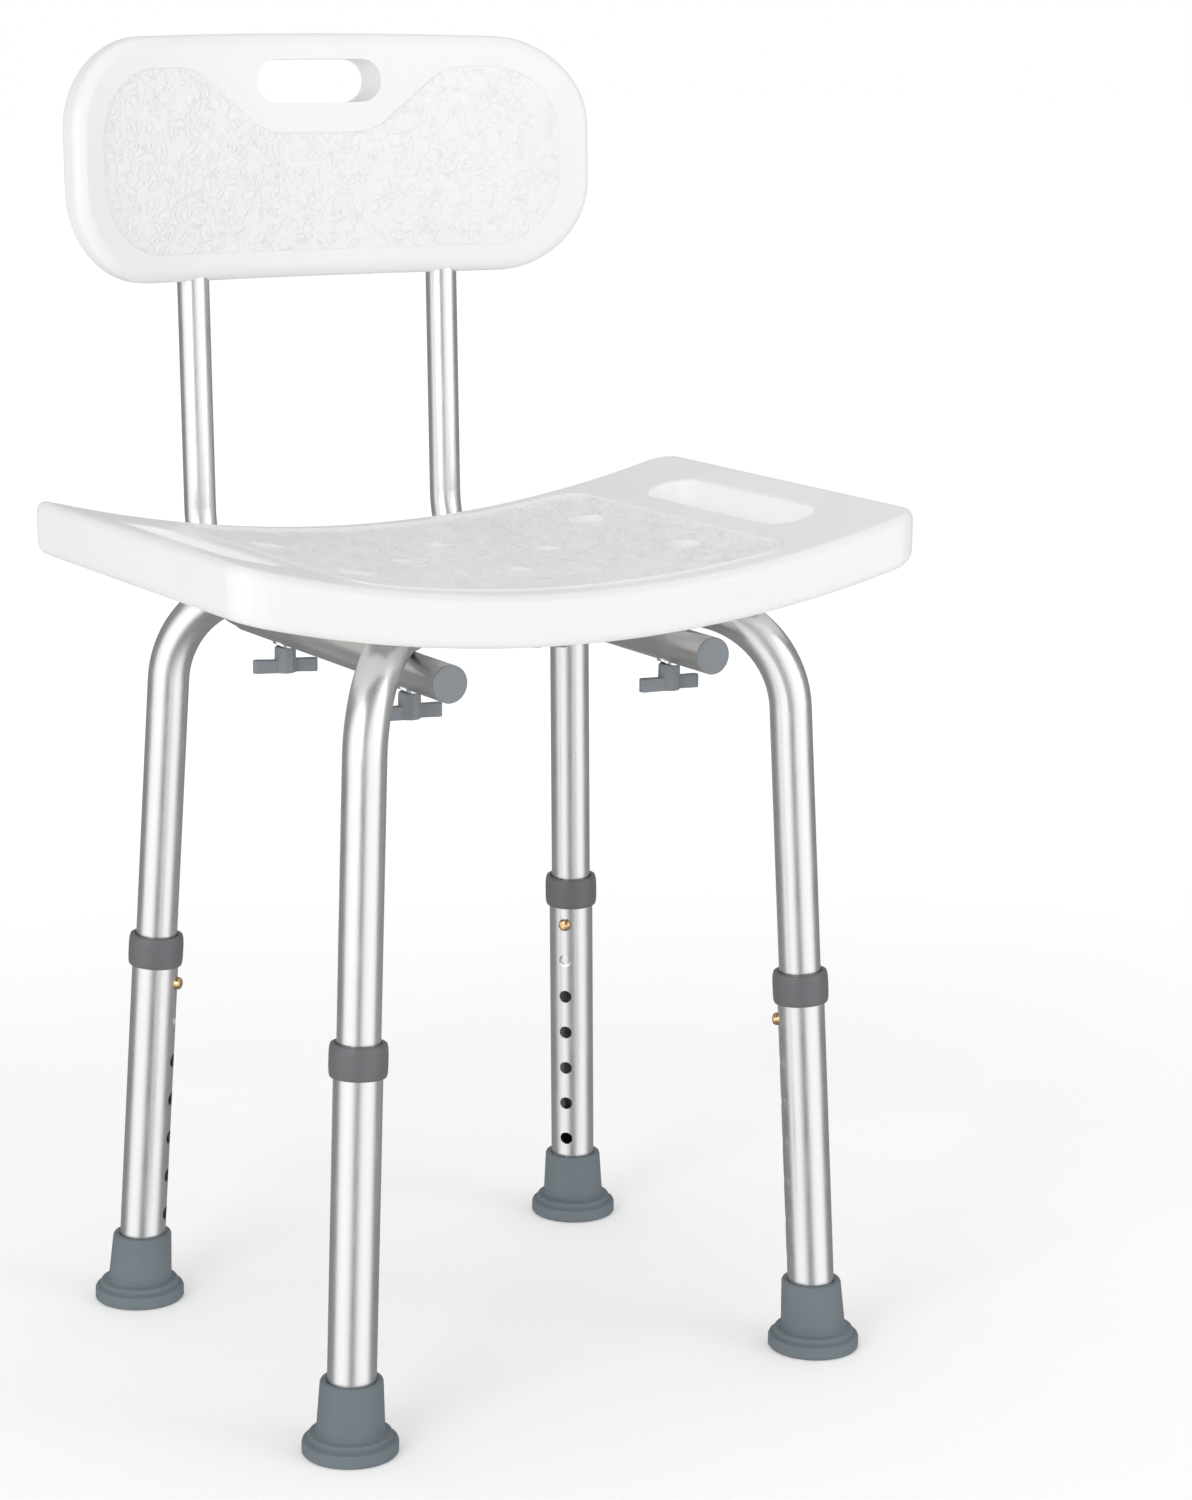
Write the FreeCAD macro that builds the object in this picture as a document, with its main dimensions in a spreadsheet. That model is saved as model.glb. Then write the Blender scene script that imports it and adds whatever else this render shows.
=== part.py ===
import FreeCAD, Part
import Sketcher
import math
import os
import re
from FreeCAD import Placement, Rotation, Vector

# Height-adjustable bath chair: +Z up, X across the seat, -Y towards the front.
# The origin is on the floor, midway between the four feet. All lengths are in millimetres.

doc = FreeCAD.newDocument("BathChair")
sheet = doc.addObject("Spreadsheet::Sheet", "Sizes")

sizes = [
    ("footReach", 216.0, "centre of the chair to the centre of a foot, on the floor"),
    ("legAngle", 41.2, "plan angle between a leg frame and the X axis, degrees"),
    ("legSplay", 3.4, "lean of each leg from the vertical, degrees"),
    ("frameHeight", 462.5, "floor to the centre line of the crossing tubes, pins in the top holes"),
    ("frameBend", 63.5, "centre line radius of the bends in the crossing tubes"),
    ("frameTube", 25.4, "outside diameter of the crossing tubes"),
    ("frameWall", 1.2, "wall of the crossing tubes"),
    ("slideGap", 0.1, "radial gap between telescoping tubes"),
    ("legWall", 1.5, "wall of the lower legs"),
    ("pinHeight", 209.8, "floor to the spring button, along the leg"),
    ("holePitch", 25.4, "distance between height holes"),
    ("holeCount", 7, "number of height holes in a lower leg"),
    ("holeSize", 8.4, "diameter of a height hole"),
    ("tubeTail", 38.0, "length of crossing tube below its spring button"),
    ("dentRoom", 4.6, "length of the flat pressed where the tubes cross, beyond a tube's diameter"),
    ("dentGap", 0.05, "gap between each pressed flat and the plane between the tubes"),
    ("rivetSize", 6.0, "diameter of the rivet shank"),
    ("rivetHead", 12.0, "diameter of the rivet heads"),
    ("rivetHeadHeight", 2.2, "height of each rivet head"),
    ("collarWall", 2.7, "thickness of the leg collar round the lower leg"),
    ("collarHeight", 19.5, "height of the leg collar"),
    ("collarLip", 4.5, "height of the collar's inturned lip above the lower leg"),
    ("collarBelow", 11.6, "spring button to the underside of the collar, along the leg"),
    ("tipFloor", 8.0, "rubber under the end of the leg"),
    ("tipHeight", 43.0, "height of the rubber tip"),
    ("tipTop", 36.5, "outside diameter of the rubber tip at its top"),
    ("tipNeck", 40.0, "outside diameter of the rubber tip above its flange"),
    ("tipStep", 49.0, "diameter of the step on the flange"),
    ("tipStepHeight", 12.0, "height of the step on the flange"),
    ("tipFlange", 56.0, "diameter of the flange on the floor"),
    ("tipFlangeHeight", 8.0, "height of the flange"),
    ("washerThickness", 1.5, "thickness of the steel washer under the leg"),
    ("buttonSize", 7.8, "diameter of a leg button"),
    ("buttonProud", 3.7, "height of a leg button above the lower leg"),
    ("buttonFlange", 9.2, "diameter of the flange behind a leg button"),
    ("buttonHoleGap", 0.15, "radial gap round a button in its own tube"),
    ("springWidth", 6.0, "width of a button spring"),
    ("springStrip", 0.6, "thickness of a button spring"),
    ("springLength", 36.0, "length of a leg button spring"),
    ("railSpread", 89.0, "centre plane to the centre of a support tube"),
    ("railTube", 22.2, "outside diameter of the support tubes"),
    ("railWall", 1.0, "wall of the support tubes"),
    ("railFront", 123.6, "leg centre to the front end of a support tube"),
    ("railRear", 128.0, "leg centre to the rear end of a support tube"),
    ("capPlate", 2.0, "thickness of the end cap's plate"),
    ("capPlug", 12.0, "length of the end cap's plug"),
    ("postInset", 44.0, "length of back post inside a support tube"),
    ("postBend", 60.0, "centre line radius of the bend in the back posts"),
    ("postLine", 191.9, "leg centre to the back posts at support tube height"),
    ("postLean", 2.7, "rearward lean of the back posts, degrees"),
    ("postTop", 300.0, "length of back post above the support tubes"),
    ("backButtonSize", 5.6, "diameter of a back post button"),
    ("backButtonProud", 3.0, "height of a back post button above the support tube"),
    ("backButtonInset", 7.0, "rear end of a support tube to its button hole"),
    ("backSpringLength", 28.0, "length of a back post button spring"),
    ("boltSize", 6.0, "diameter of a knob bolt"),
    ("boltHoleGap", 0.5, "radial gap round a knob bolt in the tubes"),
    ("threadGap", 0.08, "radial gap round a knob bolt in its nut and knob"),
    ("knobHub", 13.6, "diameter of a wing knob's hub"),
    ("knobHeight", 16.0, "height of a wing knob's hub"),
    ("knobSpan", 40.0, "length over a wing knob's wings"),
    ("knobWing", 6.6, "thickness of a wing"),
    ("knobWingHeight", 8.0, "height of a wing"),
    ("knobFloor", 3.0, "plastic below the end of the bolt"),
    ("saddlePlate", 1.2, "thickness of a saddle washer"),
    ("saddleSize", 15.0, "diameter of a saddle washer"),
    ("nutSize", 10.0, "diameter of a seat nut"),
    ("nutHeight", 9.0, "height of a seat nut"),
    ("seatWidth", 458.0, "width of the seat"),
    ("seatDepth", 286.0, "depth of the seat, front to back"),
    ("seatCorner", 20.0, "plan radius of the seat's corners"),
    ("seatRise", 25.0, "centre line of the crossing tubes to the top of the seat's rim, in its middle"),
    ("seatThickness", 31.0, "thickness of the seat"),
    ("seatCurve", 833.0, "radius that the seat's top is bent to"),
    ("seatEdge", 4.5, "rounding of the seat's top and bottom edges"),
    ("recessWidth", 288.0, "width of the textured recess"),
    ("recessDepth", 244.0, "front-to-back size of the textured recess"),
    ("recessSink", 1.5, "depth of the textured recess below the rim"),
    ("channelGap", 0.3, "gap between a crossing tube and its channel in the seat"),
    ("channelReach", 176.0, "centre of the chair to the end of a channel"),
    ("gripWidth", 34.0, "width of a hand grip in the seat"),
    ("gripLength", 156.0, "length of a hand grip in the seat"),
    ("gripCentre", 183.0, "centre plane to the centre line of a hand grip"),
    ("drainLarge", 22.0, "diameter of the four outer drain holes"),
    ("drainSmall", 16.0, "diameter of the four inner drain holes"),
    ("drainAcross", 112.0, "centre to the outer drain holes, along X"),
    ("drainAlong", 55.0, "centre to the outer drain holes, along Y"),
    ("drainInner", 50.0, "centre to the inner drain holes"),
    ("backWidth", 364.0, "width of the backrest"),
    ("backHeight", 152.0, "height of the backrest"),
    ("backBottom", 199.6, "support tubes to the underside of the backrest, along the posts"),
    ("backThickness", 26.0, "thickness of the backrest"),
    ("backCurve", 500.0, "radius that the backrest is bent to"),
    ("backCorner", 58.0, "corner radius of the backrest"),
    ("backCrown", 4.5, "rise of the backrest's top edge in its middle"),
    ("backEdge", 10.0, "rounding of the backrest's front and rear edges"),
    ("slotWidth", 88.0, "width of the handle slot"),
    ("slotHeight", 27.0, "height of the handle slot"),
    ("slotBelowTop", 28.6, "top of the backrest to the middle of the handle slot"),
    ("socketGap", 0.05, "radial gap round a back post in the backrest"),
    ("screwSize", 5.0, "diameter of a backrest screw"),
    ("screwHead", 10.0, "diameter of a backrest screw's head"),
    ("screwHeadHeight", 2.6, "height of a backrest screw's head"),
    ("screwLow", 24.0, "underside of the backrest to the lower screws"),
    ("screwHigh", 84.0, "underside of the backrest to the upper screws"),
]
aliases = [name for name, value, note in sizes]
for row, (name, value, note) in enumerate(sizes, start=1):
    sheet.set(f"A{row}", name)
    sheet.set(f"B{row}", str(value))
    sheet.setAlias(f"B{row}", name)
    sheet.set(f"C{row}", note)
doc.recompute()


def size(name):
    return float(sheet.get(name))


def bound(text):
    # write an expression with bare aliases as one that reads the sheet
    return re.sub(r"[A-Za-z]\w*", lambda m: f"Sizes.{m[0]}" if m[0] in aliases else m[0], text)


# ---- building helpers ---------------------------------------------------------------------

subparts = []


def keep(thing, label, placement=None):
    # the finished object of one sub-part
    thing.Label = label
    if placement is not None:
        thing.Placement = placement
    subparts.append(thing)
    return thing


def primitive(kind, name, at=("0", "0", "0"), turn=None, **properties):
    # a Part primitive whose sizes and place are bound to the sheet
    thing = doc.addObject(f"Part::{kind}", name)
    if turn:
        axis, angle = turn
        thing.Placement = Placement(Vector(), Rotation(Vector(*axis), 1))
        thing.setExpression("Placement.Rotation.Angle", bound(angle))
    for key, text in properties.items():
        thing.setExpression(key, bound(text))
    for key, text in zip("xyz", at):
        thing.setExpression(f"Placement.Base.{key}", bound(text))
    return thing


def joined(name, pieces):
    fusion = doc.addObject("Part::MultiFuse", name)
    fusion.Shapes = pieces
    return fusion


def difference(name, base, tool):
    result = doc.addObject("Part::Cut", name)
    result.Base = base
    result.Tool = tool
    return result


def originPlane(body, role):
    return next(f for f in body.Origin.OriginFeatures if getattr(f, "Role", "") == role)


def profile(body, name, role, points):
    # a closed polyline whose corners are bound to the sheet, as pairs of expressions
    sketch = body.newObject("Sketcher::SketchObject", name)
    sketch.AttachmentSupport = [(originPlane(body, role), "")]
    sketch.MapMode = "FlatFace"
    count = len(points)
    spots = [Vector(10 + i, 10 + i * i, 0) for i in range(count)]
    for i in range(count):
        sketch.addGeometry(Part.LineSegment(spots[i], spots[(i + 1) % count]))
    for i in range(count):
        sketch.addConstraint(Sketcher.Constraint("Coincident", i, 2, (i + 1) % count, 1))
    for i, pair in enumerate(points):
        for kind, line, text, start in zip(("DistanceX", "DistanceY"), (-2, -1), pair, spots[i]):
            if text == "0":
                sketch.addConstraint(Sketcher.Constraint("PointOnObject", i, 1, line))
                continue
            index = sketch.addConstraint(Sketcher.Constraint(kind, -1, 1, i, 1, start))
            sketch.setExpression(f"Constraints[{index}]", bound(text))
    return sketch


def turned(label, points, placement):
    # a body turned about its own Z axis, from (radius, height) pairs
    body = doc.addObject("PartDesign::Body", f"{label}_body")
    sketch = profile(body, f"{label}_profile", "XZ_Plane", points)
    turn = body.newObject("PartDesign::Revolution", f"{label}_turn")
    turn.Profile = sketch
    turn.ReferenceAxis = (sketch, ["V_Axis"])
    turn.Angle = 360
    return keep(body, label, placement)


def strip(label, points, width, placement):
    # a body cut from its XZ outline and padded both ways from the middle
    body = doc.addObject("PartDesign::Body", f"{label}_body")
    pad = body.newObject("PartDesign::Pad", f"{label}_pad")
    pad.Profile = profile(body, f"{label}_profile", "XZ_Plane", points)
    pad.Midplane = True
    pad.setExpression("Length", bound(width))
    return keep(body, label, placement)


def shaped(label, shape, placement):
    # a sub-part made with Part's own functions
    feature = doc.addObject("Part::Feature", f"{label}_shape")
    feature.Shape = shape
    return keep(feature, label, placement)


def rod(radius, start, end):
    return Part.makeCylinder(radius, (end - start).Length, start, end - start)


def bentRod(points, bend, radius):
    # straight runs joined by tangent arcs
    pieces = []
    start = points[0]
    for before, corner, after in zip(points, points[1:], points[2:]):
        back = (before - corner).normalize()
        onward = (after - corner).normalize()
        turn = math.pi - back.getAngle(onward)
        arcStart = corner + back * (bend * math.tan(turn / 2))
        centre = corner + (back + onward).normalize() * (bend / math.cos(turn / 2))
        disc = Part.Face(Part.Wire(Part.makeCircle(radius, arcStart, back)))
        axis = (arcStart - centre).cross(corner - centre).normalize()
        pieces.append(rod(radius, start, arcStart))
        pieces.append(disc.revolve(centre, axis, math.degrees(turn)))
        start = corner + onward * (bend * math.tan(turn / 2))
    pieces.append(rod(radius, start, points[-1]))
    return pieces[0].fuse(pieces[1:]).removeSplitter()


def stretched(points, extra):
    # the same path, a little longer at both ends
    first = points[0] + (points[0] - points[1]).normalize() * extra
    last = points[-1] + (points[-1] - points[-2]).normalize() * extra
    return [first] + points[1:-1] + [last]


def roundedPrism(width, depth, corner, low, high):
    # an upright prism with rounded plan corners, centred on the Z axis
    block = Part.makeBox(width, depth, high - low, Vector(-width / 2, -depth / 2, low))
    upright = [e for e in block.Edges if abs(e.tangentAt(e.FirstParameter).z) > 0.9]
    return block.makeFillet(corner, upright)


def facesOfRadius(shape, radius):
    # the curved faces of one radius
    curved = [f for f in shape.Faces if isinstance(f.Surface, Part.Cylinder)]
    return [f for f in curved if abs(f.Surface.Radius - radius) < 0.01]


# ---- places shared by several pieces -------------------------------------------------------

corners = {
    "front_left": (-1, -1),
    "rear_left": (-1, 1),
    "rear_right": (1, 1),
    "front_right": (1, -1),
}
sides = {"left": -1, "right": 1}
legAngle = math.radians(size("legAngle"))
legSplay = math.radians(size("legSplay"))
frameRadius = size("frameTube") / 2
railRadius = size("railTube") / 2
railHeight = size("frameHeight") - frameRadius - railRadius
postRadius = railRadius - size("railWall") - size("slideGap")
knobAlong = size("railSpread") * math.tan(legAngle)
legRadius = "(frameTube / 2 + slideGap + legWall)"
postOuter = "(railTube / 2 - railWall - slideGap)"


def uprightAt(corner):
    # on the floor under a leg, X pointing outwards
    sx, sy = corners[corner]
    foot = Vector(sx * math.cos(legAngle), sy * math.sin(legAngle), 0) * size("footReach")
    return Placement(foot, Rotation(Vector(0, 0, 1), math.degrees(math.atan2(foot.y, foot.x))))


def alongLeg(corner):
    # the same place, Z running up the leg
    return uprightAt(corner) * Placement(Vector(), Rotation(Vector(0, 1, 0), -size("legSplay")))


def knobAt(corner, height):
    # on a knob's axis
    sx, sy = corners[corner]
    return Placement(Vector(sx * size("railSpread"), sy * knobAlong, height), Rotation())


backFrame = Placement(
    Vector(0, size("postLine"), railHeight), Rotation(Vector(1, 0, 0), -size("postLean"))
)

# ---- crossing leg frames -------------------------------------------------------------------


def dent(grow, above):
    # the flat pressed into a crossing tube, grown by the tube's wall for the inside
    floor = size("dentGap") + grow
    half = (size("frameTube") + size("dentRoom")) / 2 + grow * math.tan(math.radians(22.5))
    reach = size("frameTube")
    side = 1 if above else -1
    outline = [
        Vector(-half, -reach, -floor * side),
        Vector(half, -reach, -floor * side),
        Vector(half + floor + reach, -reach, reach * side),
        Vector(-half - floor - reach, -reach, reach * side),
    ]
    face = Part.Face(Part.makePolygon(outline + outline[:1]))
    return face.extrude(Vector(0, 2 * reach, 0))


def crossingTube(label, azimuth, dentAbove):
    # one inverted U in its own XZ plane
    tubeEnd = size("pinHeight") - size("tubeTail")
    endReach = size("footReach") - tubeEnd * math.sin(legSplay)
    endHeight = tubeEnd * math.cos(legSplay)
    topReach = size("footReach") - size("frameHeight") * math.tan(legSplay)
    path = [
        Vector(endReach, 0, endHeight),
        Vector(topReach, 0, size("frameHeight")),
        Vector(-topReach, 0, size("frameHeight")),
        Vector(-endReach, 0, endHeight),
    ]
    wall = size("frameWall")
    middle = Vector(0, 0, size("frameHeight"))
    outside = bentRod(path, size("frameBend"), frameRadius)
    inside = bentRod(stretched(path, 1), size("frameBend"), frameRadius - wall)
    outside = outside.cut(dent(0, dentAbove).translated(middle))
    inside = inside.cut(dent(wall, dentAbove).translated(middle))
    tube = outside.cut(inside)
    through = Vector(0, 0, size("frameTube"))
    cuts = [rod(size("rivetSize") / 2 + size("dentGap"), middle - through, middle + through)]
    knobReach = math.hypot(size("railSpread"), knobAlong)
    for side in (-1, 1):
        bolt = Vector(side * knobReach, 0, size("frameHeight"))
        hole = size("boltSize") / 2 + size("boltHoleGap")
        cuts.append(rod(hole, bolt - through, bolt + through))
        pinReach = size("footReach") - size("pinHeight") * math.sin(legSplay)
        pin = Vector(side * pinReach, 0, size("pinHeight") * math.cos(legSplay))
        inward = Vector(-side * math.cos(legSplay), 0, -math.sin(legSplay))
        pinHole = size("buttonSize") / 2 + size("buttonHoleGap")
        cuts.append(rod(pinHole, pin, pin + inward * size("frameTube")))
    for cut in cuts:
        tube = tube.cut(cut)
    shaped(label, tube, Placement(Vector(), Rotation(Vector(0, 0, 1), azimuth)))


crossingTube("crossing_tube_lower", size("legAngle"), True)
crossingTube("crossing_tube_upper", 180 - size("legAngle"), False)

turned(
    "centre_rivet",
    [
        ("0", "-frameTube/2 - rivetHeadHeight"),
        ("rivetHead/2 - rivetHeadHeight/2", "-frameTube/2 - rivetHeadHeight"),
        ("rivetHead/2", "-frameTube/2 - rivetHeadHeight/2"),
        ("rivetHead/2", "-frameTube/2"),
        ("rivetSize/2", "-frameTube/2"),
        ("rivetSize/2", "frameTube/2"),
        ("rivetHead/2", "frameTube/2"),
        ("rivetHead/2", "frameTube/2 + rivetHeadHeight/2"),
        ("rivetHead/2 - rivetHeadHeight/2", "frameTube/2 + rivetHeadHeight"),
        ("0", "frameTube/2 + rivetHeadHeight"),
    ],
    Placement(Vector(0, 0, size("frameHeight")), Rotation()),
)

# ---- legs: lower tube, collar, rubber tip, washer, button and spring -----------------------


def lowerLeg(corner):
    name = f"lower_leg_{corner}"
    base = "tipFloor + washerThickness"
    length = f"pinHeight + collarBelow + collarHeight - collarLip - ({base})"
    outer = primitive(
        "Cylinder", f"{name}_outer", at=("0", "0", base), Radius=legRadius, Height=length
    )
    cuts = [
        primitive(
            "Cylinder",
            f"{name}_bore",
            at=("0", "0", base),
            Radius="frameTube/2 + slideGap",
            Height=length,
        )
    ]
    for number in range(int(size("holeCount"))):
        cuts.append(
            primitive(
                "Cylinder",
                f"{name}_hole_{number}",
                at=("0", "0", f"pinHeight - {number} * holePitch"),
                turn=((0, -1, 0), "90"),
                Radius="holeSize/2",
                Height="frameTube",
            )
        )
    keep(difference(name, outer, joined(f"{name}_cuts", cuts)), name, alongLeg(corner))


def legCollar(corner):
    low = "pinHeight + collarBelow"
    rim = f"{low} + collarHeight"
    outside = f"{legRadius} + collarWall"
    turned(
        f"leg_collar_{corner}",
        [
            (legRadius, low),
            (f"{outside} - 1", low),
            (outside, f"{low} + 1.5"),
            (f"{outside} - 0.6", f"{rim} - 1.5"),
            (f"{outside} - 2", rim),
            ("frameTube/2 + 2*slideGap", rim),
            ("frameTube/2 + 2*slideGap", f"{rim} - collarLip"),
            (legRadius, f"{rim} - collarLip"),
        ],
        alongLeg(corner),
    )


def rubberTip(corner):
    name = f"rubber_tip_{corner}"
    lean = ((0, 1, 0), "-legSplay")
    flange = primitive(
        "Cylinder", f"{name}_flange", Radius="tipFlange/2", Height="tipFlangeHeight"
    )
    step = primitive("Cylinder", f"{name}_step", Radius="tipStep/2", Height="tipStepHeight")
    neck = primitive(
        "Cone",
        f"{name}_neck",
        at=("0", "0", "tipFlangeHeight/2"),
        turn=lean,
        Radius1="tipNeck/2",
        Radius2="tipTop/2",
        Height="tipHeight - tipFlangeHeight/2",
    )
    socket = primitive(
        "Cylinder",
        f"{name}_socket",
        at=("-tipFloor*sin(legSplay*1deg)", "0", "tipFloor*cos(legSplay*1deg)"),
        turn=lean,
        Radius=legRadius,
        Height="tipHeight",
    )
    outside = joined(f"{name}_outside", [flange, step, neck])
    keep(difference(name, outside, socket), name, uprightAt(corner))


def tipWasher(corner):
    turned(
        f"tip_washer_{corner}",
        [
            ("3", "tipFloor"),
            (f"{legRadius} - 0.3", "tipFloor"),
            (f"{legRadius} - 0.3", "tipFloor + washerThickness"),
            ("3", "tipFloor + washerThickness"),
        ],
        alongLeg(corner),
    )


def legButton(corner):
    # its Z axis points out of the tube, towards the middle of the chair
    back = "frameTube/2 - frameWall - 2.6"
    proud = f"{legRadius} + buttonProud"
    pin = Placement(Vector(0, 0, size("pinHeight")), Rotation(Vector(0, 1, 0), -90))
    turned(
        f"leg_button_{corner}",
        [
            ("0", back),
            ("buttonFlange/2", back),
            ("buttonFlange/2", f"{back} + 1.2"),
            ("buttonSize/2", f"{back} + 1.2"),
            ("buttonSize/2", f"{proud} - 2.2"),
            ("buttonSize/2 - 0.7", f"{proud} - 0.9"),
            ("buttonSize/2 - 2", f"{proud} - 0.2"),
            ("0", proud),
        ],
        alongLeg(corner) * pin,
    )


def buttonSpring(label, back, bore, length, placement):
    # a folded strip: one arm behind the button, the other against the far wall
    foot = f"({bore} - 0.9)"
    strip(
        label,
        [
            (f"-({back}) + springStrip", "-4"),
            (f"-({back}) + springStrip", "4"),
            ("-springStrip", f"{length} - 3*springStrip"),
            ("springStrip", f"{length} - 3*springStrip"),
            (f"{foot} - springStrip", "2"),
            (foot, "2"),
            ("2*springStrip", length),
            ("-2*springStrip", length),
            (f"-({back})", "4"),
            (f"-({back})", "-4"),
        ],
        "springWidth",
        placement,
    )


for corner in corners:
    lowerLeg(corner)
    legCollar(corner)
    rubberTip(corner)
    tipWasher(corner)
    legButton(corner)
    buttonSpring(
        f"leg_button_spring_{corner}",
        "frameTube/2 - frameWall - 2.6",
        "frameTube/2 - frameWall",
        "springLength",
        alongLeg(corner) * Placement(Vector(0, 0, size("pinHeight")), Rotation()),
    )

# ---- support tubes and their end caps ------------------------------------------------------


def supportTube(side):
    # its Z axis runs from front to back
    sx = sides[side]
    name = f"support_tube_{side}"
    length = "railFront + railRear"
    outer = primitive("Cylinder", f"{name}_outer", Radius="railTube/2", Height=length)
    cuts = [
        primitive("Cylinder", f"{name}_bore", Radius="railTube/2 - railWall", Height=length),
        primitive(
            "Cylinder",
            f"{name}_button_hole",
            at=("0", "0", f"{length} - backButtonInset"),
            turn=((0, -sx, 0), "90"),
            Radius="backButtonSize/2 + buttonHoleGap",
            Height="railTube",
        ),
    ]
    for end, sign in (("front", "-"), ("rear", "+")):
        cuts.append(
            primitive(
                "Cylinder",
                f"{name}_{end}_bolt_hole",
                at=("0", "-railTube", f"railFront {sign} railSpread*tan(legAngle*1deg)"),
                turn=((-1, 0, 0), "90"),
                Radius="boltSize/2 + boltHoleGap",
                Height="2*railTube",
            )
        )
    start = Vector(sx * size("railSpread"), -size("railFront"), railHeight)
    place = Placement(start, Rotation(Vector(1, 0, 0), -90))
    keep(difference(name, outer, joined(f"{name}_cuts", cuts)), name, place)
    turned(
        f"end_cap_{side}",
        [
            ("0", "-capPlate"),
            ("railTube/2 - 0.8", "-capPlate"),
            ("railTube/2", "-capPlate + 0.8"),
            ("railTube/2", "0"),
            ("railTube/2 - railWall - 0.05", "0"),
            ("railTube/2 - railWall - 0.05", "capPlug - 1"),
            ("railTube/2 - railWall - 1", "capPlug"),
            ("0", "capPlug"),
        ],
        place,
    )


for side in sides:
    supportTube(side)

# ---- back posts with their buttons and springs ---------------------------------------------


def backPost(side):
    sx = sides[side]
    x = sx * size("railSpread")
    lean = math.radians(size("postLean"))
    rise = Vector(0, math.sin(lean), math.cos(lean)) * size("postTop")
    corner = Vector(x, size("postLine"), railHeight)
    start = Vector(x, size("railRear") - size("postInset"), railHeight)
    path = [start, corner, corner + rise]
    wall = size("railWall")
    outside = bentRod(path, size("postBend"), postRadius)
    inside = bentRod(stretched(path, 1), size("postBend"), postRadius - wall)
    post = outside.cut(inside)
    button = Vector(x, size("railRear") - size("backButtonInset"), railHeight)
    hole = size("backButtonSize") / 2 + size("buttonHoleGap")
    post = post.cut(rod(hole, button, button - Vector(sx * size("railTube"), 0, 0)))
    for height in ("screwLow", "screwHigh"):
        screw = backFrame.multVec(Vector(x, 0, size("backBottom") + size(height)))
        rear = backFrame.multVec(Vector(x, size("railTube"), size("backBottom") + size(height)))
        post = post.cut(rod(size("screwSize") / 2 + size("socketGap"), screw, rear))
    shaped(f"back_post_{side}", post, Placement())


def backButton(side):
    sx = sides[side]
    back = f"{postOuter} - railWall - 2.4"
    proud = "railTube/2 + backButtonProud"
    centre = Vector(sx * size("railSpread"), size("railRear") - size("backButtonInset"), railHeight)
    turned(
        f"back_button_{side}",
        [
            ("0", back),
            ("backButtonSize/2 + 0.7", back),
            ("backButtonSize/2 + 0.7", f"{back} + 1"),
            ("backButtonSize/2", f"{back} + 1"),
            ("backButtonSize/2", f"{proud} - 1.8"),
            ("backButtonSize/2 - 0.6", f"{proud} - 0.7"),
            ("backButtonSize/2 - 1.6", f"{proud} - 0.1"),
            ("0", proud),
        ],
        Placement(centre, Rotation(Vector(0, -sx, 0), 90)),
    )
    # the strip's own -X points at the button's side and its Z forwards
    forwards = Rotation(Vector(sx, 0, 0), Vector(0, 0, -sx), Vector(0, -1, 0), "ZXY")
    buttonSpring(
        f"back_button_spring_{side}",
        back,
        f"{postOuter} - railWall",
        "backSpringLength",
        Placement(centre, forwards),
    )


for side in sides:
    backPost(side)
    backButton(side)

# ---- wing knobs, bolts, saddle washers and seat nuts ---------------------------------------

knobTop = railHeight - railRadius - size("saddlePlate")
knobTurn = {"front_left": -12, "rear_left": -20, "rear_right": -40, "front_right": -8}


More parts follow.
